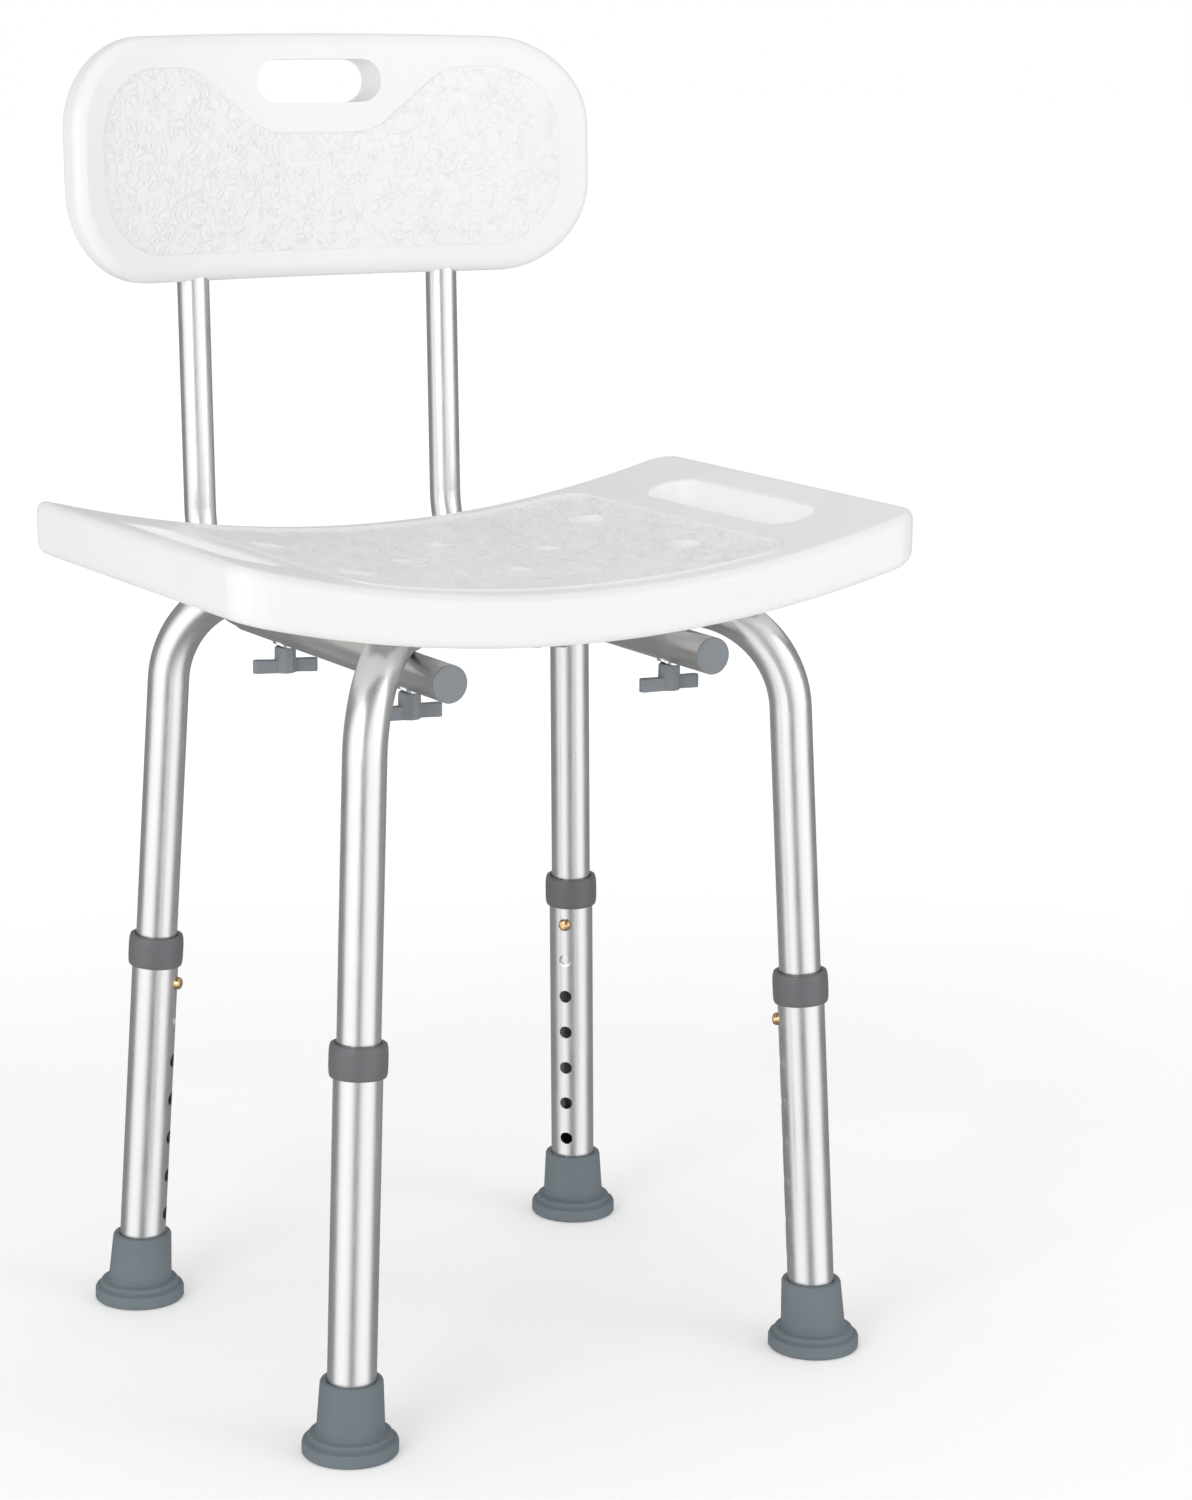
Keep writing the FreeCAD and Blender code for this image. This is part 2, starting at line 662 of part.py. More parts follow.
def wingKnob(corner):
    # its top at z = 0, the wings at its lower end
    name = f"wing_knob_{corner}"
    body = doc.addObject("PartDesign::Body", f"{name}_body")
    wings = body.newObject("PartDesign::Pad", f"{name}_wings")
    wings.Profile = profile(
        body,
        f"{name}_wing_outline",
        "XZ_Plane",
        [
            ("-knobSpan/2", "-knobHeight + 1"),
            ("-knobSpan/2 + 1", "-knobHeight"),
            ("knobSpan/2 - 1", "-knobHeight"),
            ("knobSpan/2", "-knobHeight + 1"),
            ("knobSpan/2", "-knobHeight + knobWingHeight - 1"),
            ("knobSpan/2 - 1", "-knobHeight + knobWingHeight"),
            ("-knobSpan/2 + 1", "-knobHeight + knobWingHeight"),
            ("-knobSpan/2", "-knobHeight + knobWingHeight - 1"),
        ],
    )
    wings.Midplane = True
    wings.setExpression("Length", bound("knobWing"))
    doc.recompute()
    ends = [
        f"Edge{i}"
        for i, e in enumerate(wings.Shape.Edges, start=1)
        if abs(abs(e.CenterOfMass.x) - size("knobSpan") / 2) < 0.01 and e.Length > 2
        and abs(e.tangentAt(e.FirstParameter).z) > 0.9
    ]
    rounding = body.newObject("PartDesign::Fillet", f"{name}_wing_ends")
    rounding.Base = (wings, ends)
    rounding.setExpression("Radius", bound("knobWing/2 - 0.5"))
    hub = body.newObject("PartDesign::Revolution", f"{name}_hub")
    hubProfile = profile(
        body,
        f"{name}_hub_profile",
        "XZ_Plane",
        [
            ("0", "-knobHeight"),
            ("knobHub/2 - 0.8", "-knobHeight"),
            ("knobHub/2", "-knobHeight + 0.8"),
            ("knobHub/2 - 0.4", "-0.8"),
            ("knobHub/2 - 1.2", "0"),
            ("0", "0"),
        ],
    )
    hub.Profile = hubProfile
    hub.ReferenceAxis = (hubProfile, ["V_Axis"])
    hub.Angle = 360
    doc.recompute()
    boreProfile = profile(
        body,
        f"{name}_bore_profile",
        "XZ_Plane",
        [
            ("0", "-knobHeight + knobFloor"),
            ("boltSize/2 + threadGap", "-knobHeight + knobFloor"),
            ("boltSize/2 + threadGap", "1"),
            ("0", "1"),
        ],
    )
    bore = body.newObject("PartDesign::Groove", f"{name}_bore")
    bore.Profile = boreProfile
    bore.ReferenceAxis = (boreProfile, ["V_Axis"])
    bore.Angle = 360
    place = knobAt(corner, knobTop)
    place.Rotation = Rotation(Vector(0, 0, 1), knobTurn[corner])
    keep(body, name, place)


def knobBolt(corner):
    low = "knobFloor - knobHeight + 0.1"
    high = "saddlePlate + railTube + frameTube + nutHeight"
    turned(
        f"knob_bolt_{corner}",
        [
            ("0", low),
            ("boltSize/2", low),
            ("boltSize/2", f"{high} - 1"),
            ("boltSize/2 - 1", high),
            ("0", high),
        ],
        knobAt(corner, knobTop),
    )


def saddleWasher(corner):
    # a disc pressed round the underside of the support tube, its hole clear of the bolt
    name = f"saddle_washer_{corner}"
    disc, hole = [
        primitive(
            "Cylinder", f"{name}_{part}", at=("0", "0", "-railTube"), Radius=radius, Height=height
        )
        for part, radius, height in (
            ("disc", "saddleSize/2", "railTube - 2"),
            ("hole", "boltSize/2 + boltHoleGap", "railTube"),
        )
    ]
    outside, tube = [
        primitive(
            "Cylinder",
            f"{name}_{part}",
            at=("0", "saddleSize", "0"),
            turn=((1, 0, 0), "90"),
            Radius=radius,
            Height="2*saddleSize",
        )
        for part, radius in (("outside", "railTube/2 + saddlePlate"), ("tube", "railTube/2"))
    ]
    plate = doc.addObject("Part::MultiCommon", f"{name}_plate")
    plate.Shapes = [
        difference(f"{name}_ring", outside, tube),
        difference(f"{name}_pierced_disc", disc, hole),
    ]
    keep(plate, name, knobAt(corner, railHeight))


for corner in corners:
    wingKnob(corner)
    knobBolt(corner)
    saddleWasher(corner)

nutBottom = size("frameHeight") + frameRadius + size("channelGap")
seatTop = size("frameHeight") + size("seatRise")
nuts = []
for corner in corners:
    centre = knobAt(corner, nutBottom).Base
    top = centre + Vector(0, 0, size("nutHeight"))
    outside = rod(size("nutSize") / 2, centre, top)
    nuts.append(outside.cut(rod(size("boltSize") / 2 + size("threadGap"), centre, top)))
shaped("seat_nuts", Part.makeCompound(nuts), Placement())

# ---- seat ----------------------------------------------------------------------------------


def seatCylinder(below):
    # the air above the seat, its skin lowered by a depth
    radius = size("seatCurve") + below
    length = 2 * size("seatDepth")
    centre = Vector(0, -length / 2, seatTop + size("seatCurve"))
    return Part.makeCylinder(radius, length, centre, Vector(0, 1, 0))


def seatChannels():
    # U-shaped channels in the underside that the crossing tubes lie in
    half = frameRadius + size("channelGap")
    reach = size("channelReach")
    deep = 2 * size("seatThickness")
    channels = []
    for azimuth in (size("legAngle"), -size("legAngle")):
        top = Part.makeCylinder(
            half, 2 * reach, Vector(-reach, 0, size("frameHeight")), Vector(1, 0, 0)
        )
        mouth = Part.makeBox(
            2 * reach, 2 * half, deep, Vector(-reach, -half, size("frameHeight") - deep)
        )
        channel = top.fuse(mouth)
        channel.rotate(Vector(), Vector(0, 0, 1), azimuth)
        channels.append(channel)
    return channels


def seat():
    low = seatTop - 2 * size("seatThickness")
    high = seatTop + size("seatWidth") / 4
    block = roundedPrism(size("seatWidth"), size("seatDepth"), size("seatCorner"), low, high)
    block = block.common(seatCylinder(size("seatThickness"))).cut(seatCylinder(0))
    skins = facesOfRadius(block, size("seatCurve"))
    skins += facesOfRadius(block, size("seatCurve") + size("seatThickness"))
    rims = [edge for face in skins for edge in face.OuterWire.Edges]
    shell = block.makeFillet(size("seatEdge"), rims)
    recess = roundedPrism(size("recessWidth"), size("recessDepth"), size("seatCorner"), low, high)
    shell = shell.cut(recess.common(seatCylinder(size("recessSink"))))
    for side in (-1, 1):
        end = size("gripWidth") / 2 - 0.01
        grip = roundedPrism(size("gripWidth"), size("gripLength"), end, low, high)
        shell = shell.cut(grip.translated(Vector(side * size("gripCentre"), 0, 0)))
    drains = [
        (sx * size("drainAcross"), sy * size("drainAlong"), size("drainLarge"))
        for sx, sy in corners.values()
    ]
    inner = size("drainInner")
    for x, y in ((inner, 0), (-inner, 0), (0, inner), (0, -inner)):
        drains.append((x, y, size("drainSmall")))
    for x, y, across in drains:
        shell = shell.cut(rod(across / 2, Vector(x, y, low), Vector(x, y, high)))
    for channel in seatChannels():
        shell = shell.cut(channel)
    crown = size("frameHeight") + frameRadius
    head = size("rivetHead") / 2 + 1
    headTop = crown + size("rivetHeadHeight") + 0.5
    shell = shell.cut(rod(head, Vector(0, 0, low), Vector(0, 0, headTop)))
    for corner in corners:
        foot = knobAt(corner, low).Base
        top = knobAt(corner, nutBottom + size("nutHeight")).Base
        shell = shell.cut(rod(size("nutSize") / 2 + size("socketGap"), foot, top))
    return shell


shaped("seat_shell", seat(), Placement())

# ---- backrest, modelled in the leaning frame of the posts ----------------------------------


# the screw heads stand in flats cut into the curved rear skin, at most half way to the posts
backWall = size("backThickness") / 2 - postRadius
slope = size("screwHead") * size("railSpread") / size("backCurve") / 2
screwSeat = size("backThickness") / 2 - min(slope, backWall / 2)


def backrest():
    low = size("backBottom")
    high = low + size("backHeight")
    wide = size("backWidth")
    deep = 4 * size("backThickness")
    block = Part.makeBox(wide, deep, high - low, Vector(-wide / 2, -deep / 2, low))
    crownRadius = (wide / 2) ** 2 / (2 * size("backCrown"))
    crown = Part.makeCylinder(
        crownRadius, deep, Vector(0, -deep / 2, high - crownRadius), Vector(0, 1, 0)
    )
    block = block.common(crown)
    across = [e for e in block.Edges if abs(e.tangentAt(e.FirstParameter).y) > 0.9]
    block = block.makeFillet(size("backCorner"), across)
    middle = size("backCurve")
    centre = Vector(0, -math.sqrt(middle**2 - size("railSpread") ** 2), low - 10)
    height = high - low + 20
    half = size("backThickness") / 2
    ring = Part.makeCylinder(middle + half, height, centre)
    ring = ring.cut(Part.makeCylinder(middle - half, height, centre))
    shell = block.common(ring)
    skins = facesOfRadius(shell, middle + half) + facesOfRadius(shell, middle - half)
    rims = [edge for face in skins for edge in face.OuterWire.Edges]
    shell = shell.makeFillet(size("backEdge"), rims)
    end = size("slotHeight") / 2 - 0.01
    slot = roundedPrism(size("slotWidth"), size("slotHeight"), end, -deep, deep)
    slot.rotate(Vector(), Vector(1, 0, 0), 90)
    shell = shell.cut(slot.translated(Vector(0, 0, high - size("slotBelowTop"))))
    for side in (-1, 1):
        x = side * size("railSpread")
        bore = postRadius + size("socketGap")
        shell = shell.cut(rod(bore, Vector(x, 0, 0), Vector(x, 0, size("postTop") + 1)))
        for name in ("screwLow", "screwHigh"):
            spot = Vector(x, 0, low + size(name))
            rear = spot + Vector(0, deep, 0)
            shell = shell.cut(rod(size("screwSize") / 2 + size("socketGap"), spot, rear))
            flat = spot + Vector(0, screwSeat, 0)
            shell = shell.cut(rod(size("screwHead") / 2 + 0.5, flat, rear))
    return shell


shaped("backrest_shell", backrest(), backFrame)

screws = []
for side in (-1, 1):
    for name in ("screwLow", "screwHigh"):
        # the shank ends inside the post
        spot = Vector(side * size("railSpread"), 0, size("backBottom") + size(name))
        skin = spot + Vector(0, screwSeat + 0.02, 0)
        shank = rod(size("screwSize") / 2, spot + Vector(0, postRadius - 4, 0), skin)
        head = rod(size("screwHead") / 2, skin, skin + Vector(0, size("screwHeadHeight"), 0))
        rims = [e for e in head.Edges if e.Closed and e.CenterOfMass.y > skin.y + 0.5]
        screws.append(shank.fuse(head.makeFillet(1.2, rims)).removeSplitter())
shaped("backrest_screws", Part.makeCompound(screws), backFrame)

# ---- check and write -----------------------------------------------------------------------

doc.recompute()
for thing in doc.Objects:
    if "Invalid" in thing.State or "Error" in thing.State:
        raise RuntimeError(f"{thing.Label} did not recompute: {thing.State}")
for thing in subparts:
    if thing.Shape.isNull() or not thing.Shape.isValid():
        raise RuntimeError(f"{thing.Label} has no valid shape")
    if thing.Shape.Volume <= 0 or not thing.Shape.Solids:
        raise RuntimeError(f"{thing.Label} is not solid")

os.makedirs("parts", exist_ok=True)
for thing in subparts:
    thing.Shape.exportStep(f"parts/{thing.Label}.step")
    print(f"{thing.Label}: {len(thing.Shape.Solids)} solid, {thing.Shape.Volume / 1000:.2f} cm3")
print(f"{len(subparts)} sub-parts")
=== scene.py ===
import math

import bpy
from mathutils import Matrix, Vector


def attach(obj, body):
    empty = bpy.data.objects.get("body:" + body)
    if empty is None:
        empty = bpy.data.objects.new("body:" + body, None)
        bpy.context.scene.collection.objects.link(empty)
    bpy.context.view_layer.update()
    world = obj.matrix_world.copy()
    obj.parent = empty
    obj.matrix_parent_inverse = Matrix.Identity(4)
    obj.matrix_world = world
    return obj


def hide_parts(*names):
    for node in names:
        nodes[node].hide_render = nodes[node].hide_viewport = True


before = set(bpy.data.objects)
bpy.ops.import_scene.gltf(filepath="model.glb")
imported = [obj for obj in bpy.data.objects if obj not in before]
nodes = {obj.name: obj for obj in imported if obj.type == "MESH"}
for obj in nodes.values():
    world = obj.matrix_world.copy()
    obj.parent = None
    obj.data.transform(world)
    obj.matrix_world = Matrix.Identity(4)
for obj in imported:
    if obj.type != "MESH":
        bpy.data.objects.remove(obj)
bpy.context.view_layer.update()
sides = {"left": -1, "right": 1}
corners = {"front_left": (-1, -1), "rear_left": (-1, 1), "rear_right": (1, 1), "front_right": (1, -1)}
mm = 0.001
print("frame:", len(nodes), "CAD nodes")

# the chair's own layout, in millimetres and degrees, as the CAD has it
chair = dict(
    footReach=216.0, legAngle=41.2, legSplay=3.4, frameHeight=462.5, frameTube=25.4, legTube=28.6,
    pinHeight=209.8, holePitch=25.4, holeCount=7, railSpread=89.0, railTube=22.2, railFront=123.6,
    postLine=191.9, postLean=2.7,
)
railHeight = chair["frameHeight"] - chair["frameTube"] / 2 - chair["railTube"] / 2


# modelling steps that every piece uses

def selectOnly(piece):
    bpy.ops.object.select_all(action="DESELECT")
    piece.select_set(True)
    bpy.context.view_layer.objects.active = piece


def newest(name):
    # names what has just been added and keeps its size and place in its mesh
    piece = bpy.context.object
    piece.name = name
    piece.data.name = name
    bpy.ops.object.transform_apply(location=True, rotation=True, scale=True)
    return piece


def pick(piece, kind, test):
    # goes into edit mode with only the parts of that kind selected that pass the test
    selectOnly(piece)
    mesh = piece.data
    for group in (mesh.vertices, mesh.edges, mesh.polygons):
        group.foreach_set("select", [False] * len(group))
    spots = [vertex.co.copy() for vertex in mesh.vertices]
    if kind == "VERT":
        for vertex in mesh.vertices:
            vertex.select = test(vertex.co)
    if kind == "EDGE":
        for edge in mesh.edges:
            edge.select = test(*[spots[i] for i in edge.vertices])
    if kind == "FACE":
        for face in mesh.polygons:
            face.select = test(face)
    bpy.context.tool_settings.mesh_select_mode = [kind == name for name in ("VERT", "EDGE", "FACE")]
    bpy.ops.object.mode_set(mode="EDIT")


def pickSharp(piece, test, angle=30):
    # the sharp edges that pass the test
    pick(piece, "EDGE", lambda a, b: False)
    bpy.ops.mesh.edges_select_sharp(sharpness=math.radians(angle))
    bpy.ops.object.mode_set(mode="OBJECT")
    mesh = piece.data
    sharp = {edge.index for edge in mesh.edges if edge.select}
    order = iter(range(len(mesh.edges)))
    pick(piece, "EDGE", lambda a, b: next(order) in sharp and test(a, b))


def bevelPicked(width, segments):
    bpy.ops.mesh.bevel(offset=width, segments=segments, affect="EDGES", clamp_overlap=True)
    bpy.ops.object.mode_set(mode="OBJECT")


def modify(piece, kind, **values):
    selectOnly(piece)
    modifier = piece.modifiers.new(kind.lower(), kind)
    for name, value in values.items():
        setattr(modifier, name, value)
    bpy.ops.object.modifier_apply(modifier=modifier.name)


def combine(piece, tool, operation):
    # tool is used up
    modify(piece, "BOOLEAN", object=tool, operation=operation, solver="EXACT")
    bpy.data.objects.remove(tool)


def roundedBlock(name, width, depth, low, high, corner, segments=10):
    bpy.ops.object.select_all(action="DESELECT")
    bpy.ops.mesh.primitive_cube_add(
        size=1, location=(0, 0, (low + high) / 2), scale=(width, depth, high - low)
    )
    piece = newest(name)
    pick(piece, "EDGE", lambda a, b: abs(a.z - b.z) > (high - low) / 2)
    bevelPicked(corner, segments)
    return piece


def rod(name, radius, low, high, at=(0, 0), segments=48, stretch=0.0):
    # a round cutter, or a slot cutter when it is stretched along Y
    bpy.ops.object.select_all(action="DESELECT")
    bpy.ops.mesh.primitive_cylinder_add(
        vertices=segments, radius=radius, depth=high - low, location=(0, 0, (low + high) / 2)
    )
    piece = newest(name)
    if stretch:
        for side in (-1, 1):
            pick(piece, "VERT", lambda co: co.y * side > 1e-6)
            bpy.ops.transform.translate(value=(0, side * stretch / 2, 0))
            bpy.ops.object.mode_set(mode="OBJECT")
    settle(piece, Matrix.Translation((at[0], at[1], 0)))
    return piece


def turnedPiece(name, outline, segments=64, closed=False):
    # a ring is extruded and scaled from the first point of the outline to the last
    radius, height = outline[0]
    bpy.ops.object.select_all(action="DESELECT")
    bpy.ops.mesh.primitive_circle_add(
        vertices=segments,
        radius=radius,
        location=(0, 0, height),
        fill_type="NOTHING" if closed else "NGON",
    )
    piece = newest(name)
    bpy.ops.object.mode_set(mode="EDIT")
    bpy.ops.mesh.select_all(action="SELECT")
    for nextRadius, nextHeight in outline[1:]:
        bpy.ops.mesh.extrude_region_move(
            TRANSFORM_OT_translate={"value": (0, 0, nextHeight - height)}
        )
        scale = nextRadius / radius
        bpy.ops.transform.resize(value=(scale, scale, 1), center_override=(0, 0, 0))
        radius, height = nextRadius, nextHeight
    bpy.ops.mesh.select_all(action="SELECT")
    bpy.ops.mesh.remove_doubles(threshold=1e-6)
    bpy.ops.mesh.normals_make_consistent(inside=False)
    bpy.ops.object.mode_set(mode="OBJECT")
    return piece


def sliceAcross(piece, width, count):
    # cuts along X that let a flat piece bend smoothly
    selectOnly(piece)
    bpy.ops.object.mode_set(mode="EDIT")
    for number in range(1, count):
        bpy.ops.mesh.select_all(action="SELECT")
        place = (width * (number / count - 0.5), 0, 0)
        bpy.ops.mesh.bisect(plane_co=place, plane_no=(1, 0, 0))
    bpy.ops.object.mode_set(mode="OBJECT")


def reshape(piece, move):
    for vertex in piece.data.vertices:
        vertex.co = move(*vertex.co)
    piece.data.update()


def settle(piece, place):
    # the place goes into the mesh, and the object stays at the origin
    piece.matrix_world = place
    selectOnly(piece)
    bpy.ops.object.transform_apply(location=True, rotation=True, scale=True)


def soften(piece, angle=35):
    selectOnly(piece)
    bpy.ops.object.shade_smooth_by_angle(angle=math.radians(angle))
    modify(piece, "WEIGHTED_NORMAL", keep_sharp=True, weight=80)


def copyOf(piece, name):
    twin = piece.copy()
    twin.data = piece.data.copy()
    twin.name = name
    twin.data.name = name
    bpy.context.scene.collection.objects.link(twin)
    return twin


def paint(piece, *materials):
    piece.data.materials.clear()
    for material in materials:
        piece.data.materials.append(material)


# places on the chair

def uprightAt(corner):
    sx, sy = corners[corner]
    angle = math.radians(chair["legAngle"])
    foot = Vector((sx * math.cos(angle), sy * math.sin(angle), 0)) * chair["footReach"] * mm
    return Matrix.Translation(foot) @ Matrix.Rotation(math.atan2(foot.y, foot.x), 4, "Z")


def alongLeg(corner):
    # Z runs up the leg
    return uprightAt(corner) @ Matrix.Rotation(math.radians(-chair["legSplay"]), 4, "Y")


def knobPlace(corner, height):
    sx, sy = corners[corner]
    along = chair["railSpread"] * math.tan(math.radians(chair["legAngle"]))
    return Matrix.Translation((sx * chair["railSpread"] * mm, sy * along * mm, height * mm))


# effects that several materials share

def effectGroup(name, inputs, outputs):
    group = bpy.data.node_groups.new(name, "ShaderNodeTree")
    for label, kind, value in inputs:
        socket = group.interface.new_socket(label, in_out="INPUT", socket_type=kind)
        if value is not None:
            socket.default_value = value
    for label, kind in outputs:
        group.interface.new_socket(label, in_out="OUTPUT", socket_type=kind)
    start = group.nodes.new("NodeGroupInput")
    end = group.nodes.new("NodeGroupOutput")
    return group, start.outputs, end.inputs


def addNode(tree, kind, settings=None, **sockets):
    # sockets are given by name, each a value or another node's output
    node = tree.nodes.new(kind)
    for name, value in (settings or {}).items():
        setattr(node, name, value)
    for label, value in sockets.items():
        numbered = label[0] == "i" and label[1:].isdigit()
        socket = node.inputs[int(label[1:]) if numbered else label.replace("_", " ")]
        if isinstance(value, bpy.types.NodeSocket):
            tree.links.new(value, socket)
        else:
            socket.default_value = value
    return node


def mouldedSkinGroup():
    # slow drift of colour and gloss, with a fine grain
    tree, start, end = effectGroup(
        "mouldedSkin",
        [
            ("Vector", "NodeSocketVector", None),
            ("Color", "NodeSocketColor", (0.8, 0.8, 0.8, 1)),
            ("Drift", "NodeSocketFloat", 0.04),
            ("Roughness", "NodeSocketFloat", 0.45),
            ("Gloss Drift", "NodeSocketFloat", 0.08),
            ("Grain Scale", "NodeSocketFloat", 1800.0),
            ("Grain Depth", "NodeSocketFloat", 0.00002),
        ],
        [("Color", "NodeSocketColor"), ("Roughness", "NodeSocketFloat"), ("Normal", "NodeSocketVector")],
    )
    slow = addNode(tree, "ShaderNodeTexNoise", Vector=start["Vector"], Scale=14.0, Detail=3.0)
    shade = addNode(tree, "ShaderNodeMapRange", Value=slow.outputs["Fac"], From_Min=0.3, From_Max=0.7,
                    To_Min=-0.5, To_Max=0.5)
    lift = addNode(tree, "ShaderNodeMath", {"operation": "MULTIPLY_ADD"}, i0=shade.outputs["Result"],
                   i1=start["Drift"], i2=1.0)
    color = addNode(tree, "ShaderNodeVectorMath", {"operation": "SCALE"}, i0=start["Color"],
                    Scale=lift.outputs["Value"])
    gloss = addNode(tree, "ShaderNodeMath", {"operation": "MULTIPLY_ADD"}, i0=shade.outputs["Result"],
                    i1=start["Gloss Drift"], i2=start["Roughness"])
    grain = addNode(tree, "ShaderNodeTexNoise", Vector=start["Vector"], Scale=start["Grain Scale"],
                    Detail=2.0)
    height = addNode(tree, "ShaderNodeMath", {"operation": "MULTIPLY"}, i0=grain.outputs["Fac"],
                     i1=start["Grain Depth"])
    bump = addNode(tree, "ShaderNodeBump", Height=height.outputs["Value"], Distance=1.0)
    tree.links.new(color.outputs["Vector"], end["Color"])
    tree.links.new(gloss.outputs["Value"], end["Roughness"])
    tree.links.new(bump.outputs["Normal"], end["Normal"])
    return tree


def leatherGroup():
    # crossing wrinkles, as on an embossed blow mould
    tree, start, end = effectGroup(
        "leatherEmboss",
        [
            ("Vector", "NodeSocketVector", None),
            ("Scale", "NodeSocketFloat", 160.0),
            ("Depth", "NodeSocketFloat", 0.0003),
            ("Normal", "NodeSocketVector", None),
        ],
        [("Normal", "NodeSocketVector")],
    )
    warp = addNode(tree, "ShaderNodeTexNoise", Vector=start["Vector"], Scale=55.0, Detail=2.0)
    shift = addNode(tree, "ShaderNodeVectorMath", {"operation": "SCALE"}, i0=warp.outputs["Color"],
                    Scale=0.016)
    moved = addNode(tree, "ShaderNodeVectorMath", {"operation": "ADD"}, i0=start["Vector"],
                    i1=shift.outputs["Vector"])
    heights = []
    for turn in (0.6, -0.75):
        laid = addNode(tree, "ShaderNodeMapping", Vector=moved.outputs["Vector"], Rotation=(turn, turn, turn),
                       Scale=(1.0, 0.42, 1.0))
        cells = addNode(tree, "ShaderNodeTexVoronoi", {"feature": "DISTANCE_TO_EDGE"},
                        Vector=laid.outputs["Vector"], Scale=start["Scale"])
        crease = addNode(tree, "ShaderNodeMapRange", {"interpolation_type": "SMOOTHSTEP"},
                         Value=cells.outputs["Distance"], From_Min=0.0, From_Max=0.16)
        heights.append(crease.outputs["Result"])
    both = addNode(tree, "ShaderNodeMath", {"operation": "MULTIPLY"}, i0=heights[0], i1=heights[1])
    deep = addNode(tree, "ShaderNodeMath", {"operation": "MULTIPLY"}, i0=both.outputs["Value"],
                   i1=start["Depth"])
    bump = addNode(tree, "ShaderNodeBump", Height=deep.outputs["Value"], Distance=1.0, Normal=start["Normal"])
    tree.links.new(bump.outputs["Normal"], end["Normal"])
    return tree


def drawnMetalGroup():
    # fine lines along Z of the vector, with slow clouding of the anodised skin
    tree, start, end = effectGroup(
        "drawnMetal",
        [
            ("Vector", "NodeSocketVector", None),
            ("Color", "NodeSocketColor", (0.8, 0.8, 0.8, 1)),
            ("Roughness", "NodeSocketFloat", 0.3),
            ("Line Strength", "NodeSocketFloat", 0.06),
            ("Line Depth", "NodeSocketFloat", 0.00001),
        ],
        [("Color", "NodeSocketColor"), ("Roughness", "NodeSocketFloat"), ("Normal", "NodeSocketVector")],
    )
    laid = addNode(tree, "ShaderNodeMapping", Vector=start["Vector"], Scale=(1.0, 1.0, 0.012))
    lines = addNode(tree, "ShaderNodeTexNoise", Vector=laid.outputs["Vector"], Scale=1400.0, Detail=4.0)
    clouds = addNode(tree, "ShaderNodeTexNoise", Vector=start["Vector"], Scale=38.0, Detail=3.0)
    spread = addNode(tree, "ShaderNodeMath", {"operation": "ADD"}, i0=lines.outputs["Fac"],
                     i1=clouds.outputs["Fac"])
    centred = addNode(tree, "ShaderNodeMath", {"operation": "SUBTRACT"}, i0=spread.outputs["Value"], i1=1.0)
    shade = addNode(tree, "ShaderNodeMath", {"operation": "MULTIPLY_ADD"}, i0=centred.outputs["Value"],
                    i1=start["Line Strength"], i2=1.0)
    color = addNode(tree, "ShaderNodeVectorMath", {"operation": "SCALE"}, i0=start["Color"],
                    Scale=shade.outputs["Value"])
    gloss = addNode(tree, "ShaderNodeMath", {"operation": "MULTIPLY_ADD"}, i0=centred.outputs["Value"],
                    i1=0.18, i2=start["Roughness"])
    height = addNode(tree, "ShaderNodeMath", {"operation": "MULTIPLY"}, i0=lines.outputs["Fac"],
                     i1=start["Line Depth"])
    bump = addNode(tree, "ShaderNodeBump", Height=height.outputs["Value"], Distance=1.0)
    tree.links.new(color.outputs["Vector"], end["Color"])
    tree.links.new(gloss.outputs["Value"], end["Roughness"])
    tree.links.new(bump.outputs["Normal"], end["Normal"])
    return tree


mouldedSkin = mouldedSkinGroup()
leatherEmboss = leatherGroup()
drawnMetal = drawnMetalGroup()


# one material for each finish

def emptyMaterial(name):
    material = bpy.data.materials.new(name)
    material.use_nodes = True
    tree = material.node_tree
    place = tree.nodes.new("ShaderNodeTexCoord").outputs["Object"]
    return material, tree, tree.nodes["Principled BSDF"], place


def plasticMaterial(name, color, roughness, drift, grainScale, grainDepth, emboss=None, **shaderValues):
    material, tree, shader, place = emptyMaterial(name)
    skin = addNode(
        tree, "ShaderNodeGroup", {"node_tree": mouldedSkin}, Vector=place, Color=(*color, 1),
        Roughness=roughness, Drift=drift, Grain_Scale=grainScale, Grain_Depth=grainDepth,
    )
    tree.links.new(skin.outputs["Color"], shader.inputs["Base Color"])
    tree.links.new(skin.outputs["Roughness"], shader.inputs["Roughness"])
    normal = skin.outputs["Normal"]
    if emboss:
        leather = addNode(
            tree, "ShaderNodeGroup", {"node_tree": leatherEmboss}, Vector=place, Normal=normal,
            Scale=emboss["scale"], Depth=emboss["depth"],
        )
        normal = leather.outputs["Normal"]
    tree.links.new(normal, shader.inputs["Normal"])
    for label, value in shaderValues.items():
        shader.inputs[label.replace("_", " ")].default_value = value
    return material


def metalMaterial(name, color, roughness, lines, depth, turn=(0, 0, 0)):
    material, tree, shader, place = emptyMaterial(name)
    laid = addNode(tree, "ShaderNodeMapping", Vector=place, Rotation=turn)
    skin = addNode(
        tree, "ShaderNodeGroup", {"node_tree": drawnMetal}, Vector=laid.outputs["Vector"], Color=(*color, 1),
        Roughness=roughness, Line_Strength=lines, Line_Depth=depth,
    )
    tree.links.new(skin.outputs["Color"], shader.inputs["Base Color"])
    tree.links.new(skin.outputs["Roughness"], shader.inputs["Roughness"])
    tree.links.new(skin.outputs["Normal"], shader.inputs["Normal"])
    shader.inputs["Metallic"].default_value = 1.0
    return material


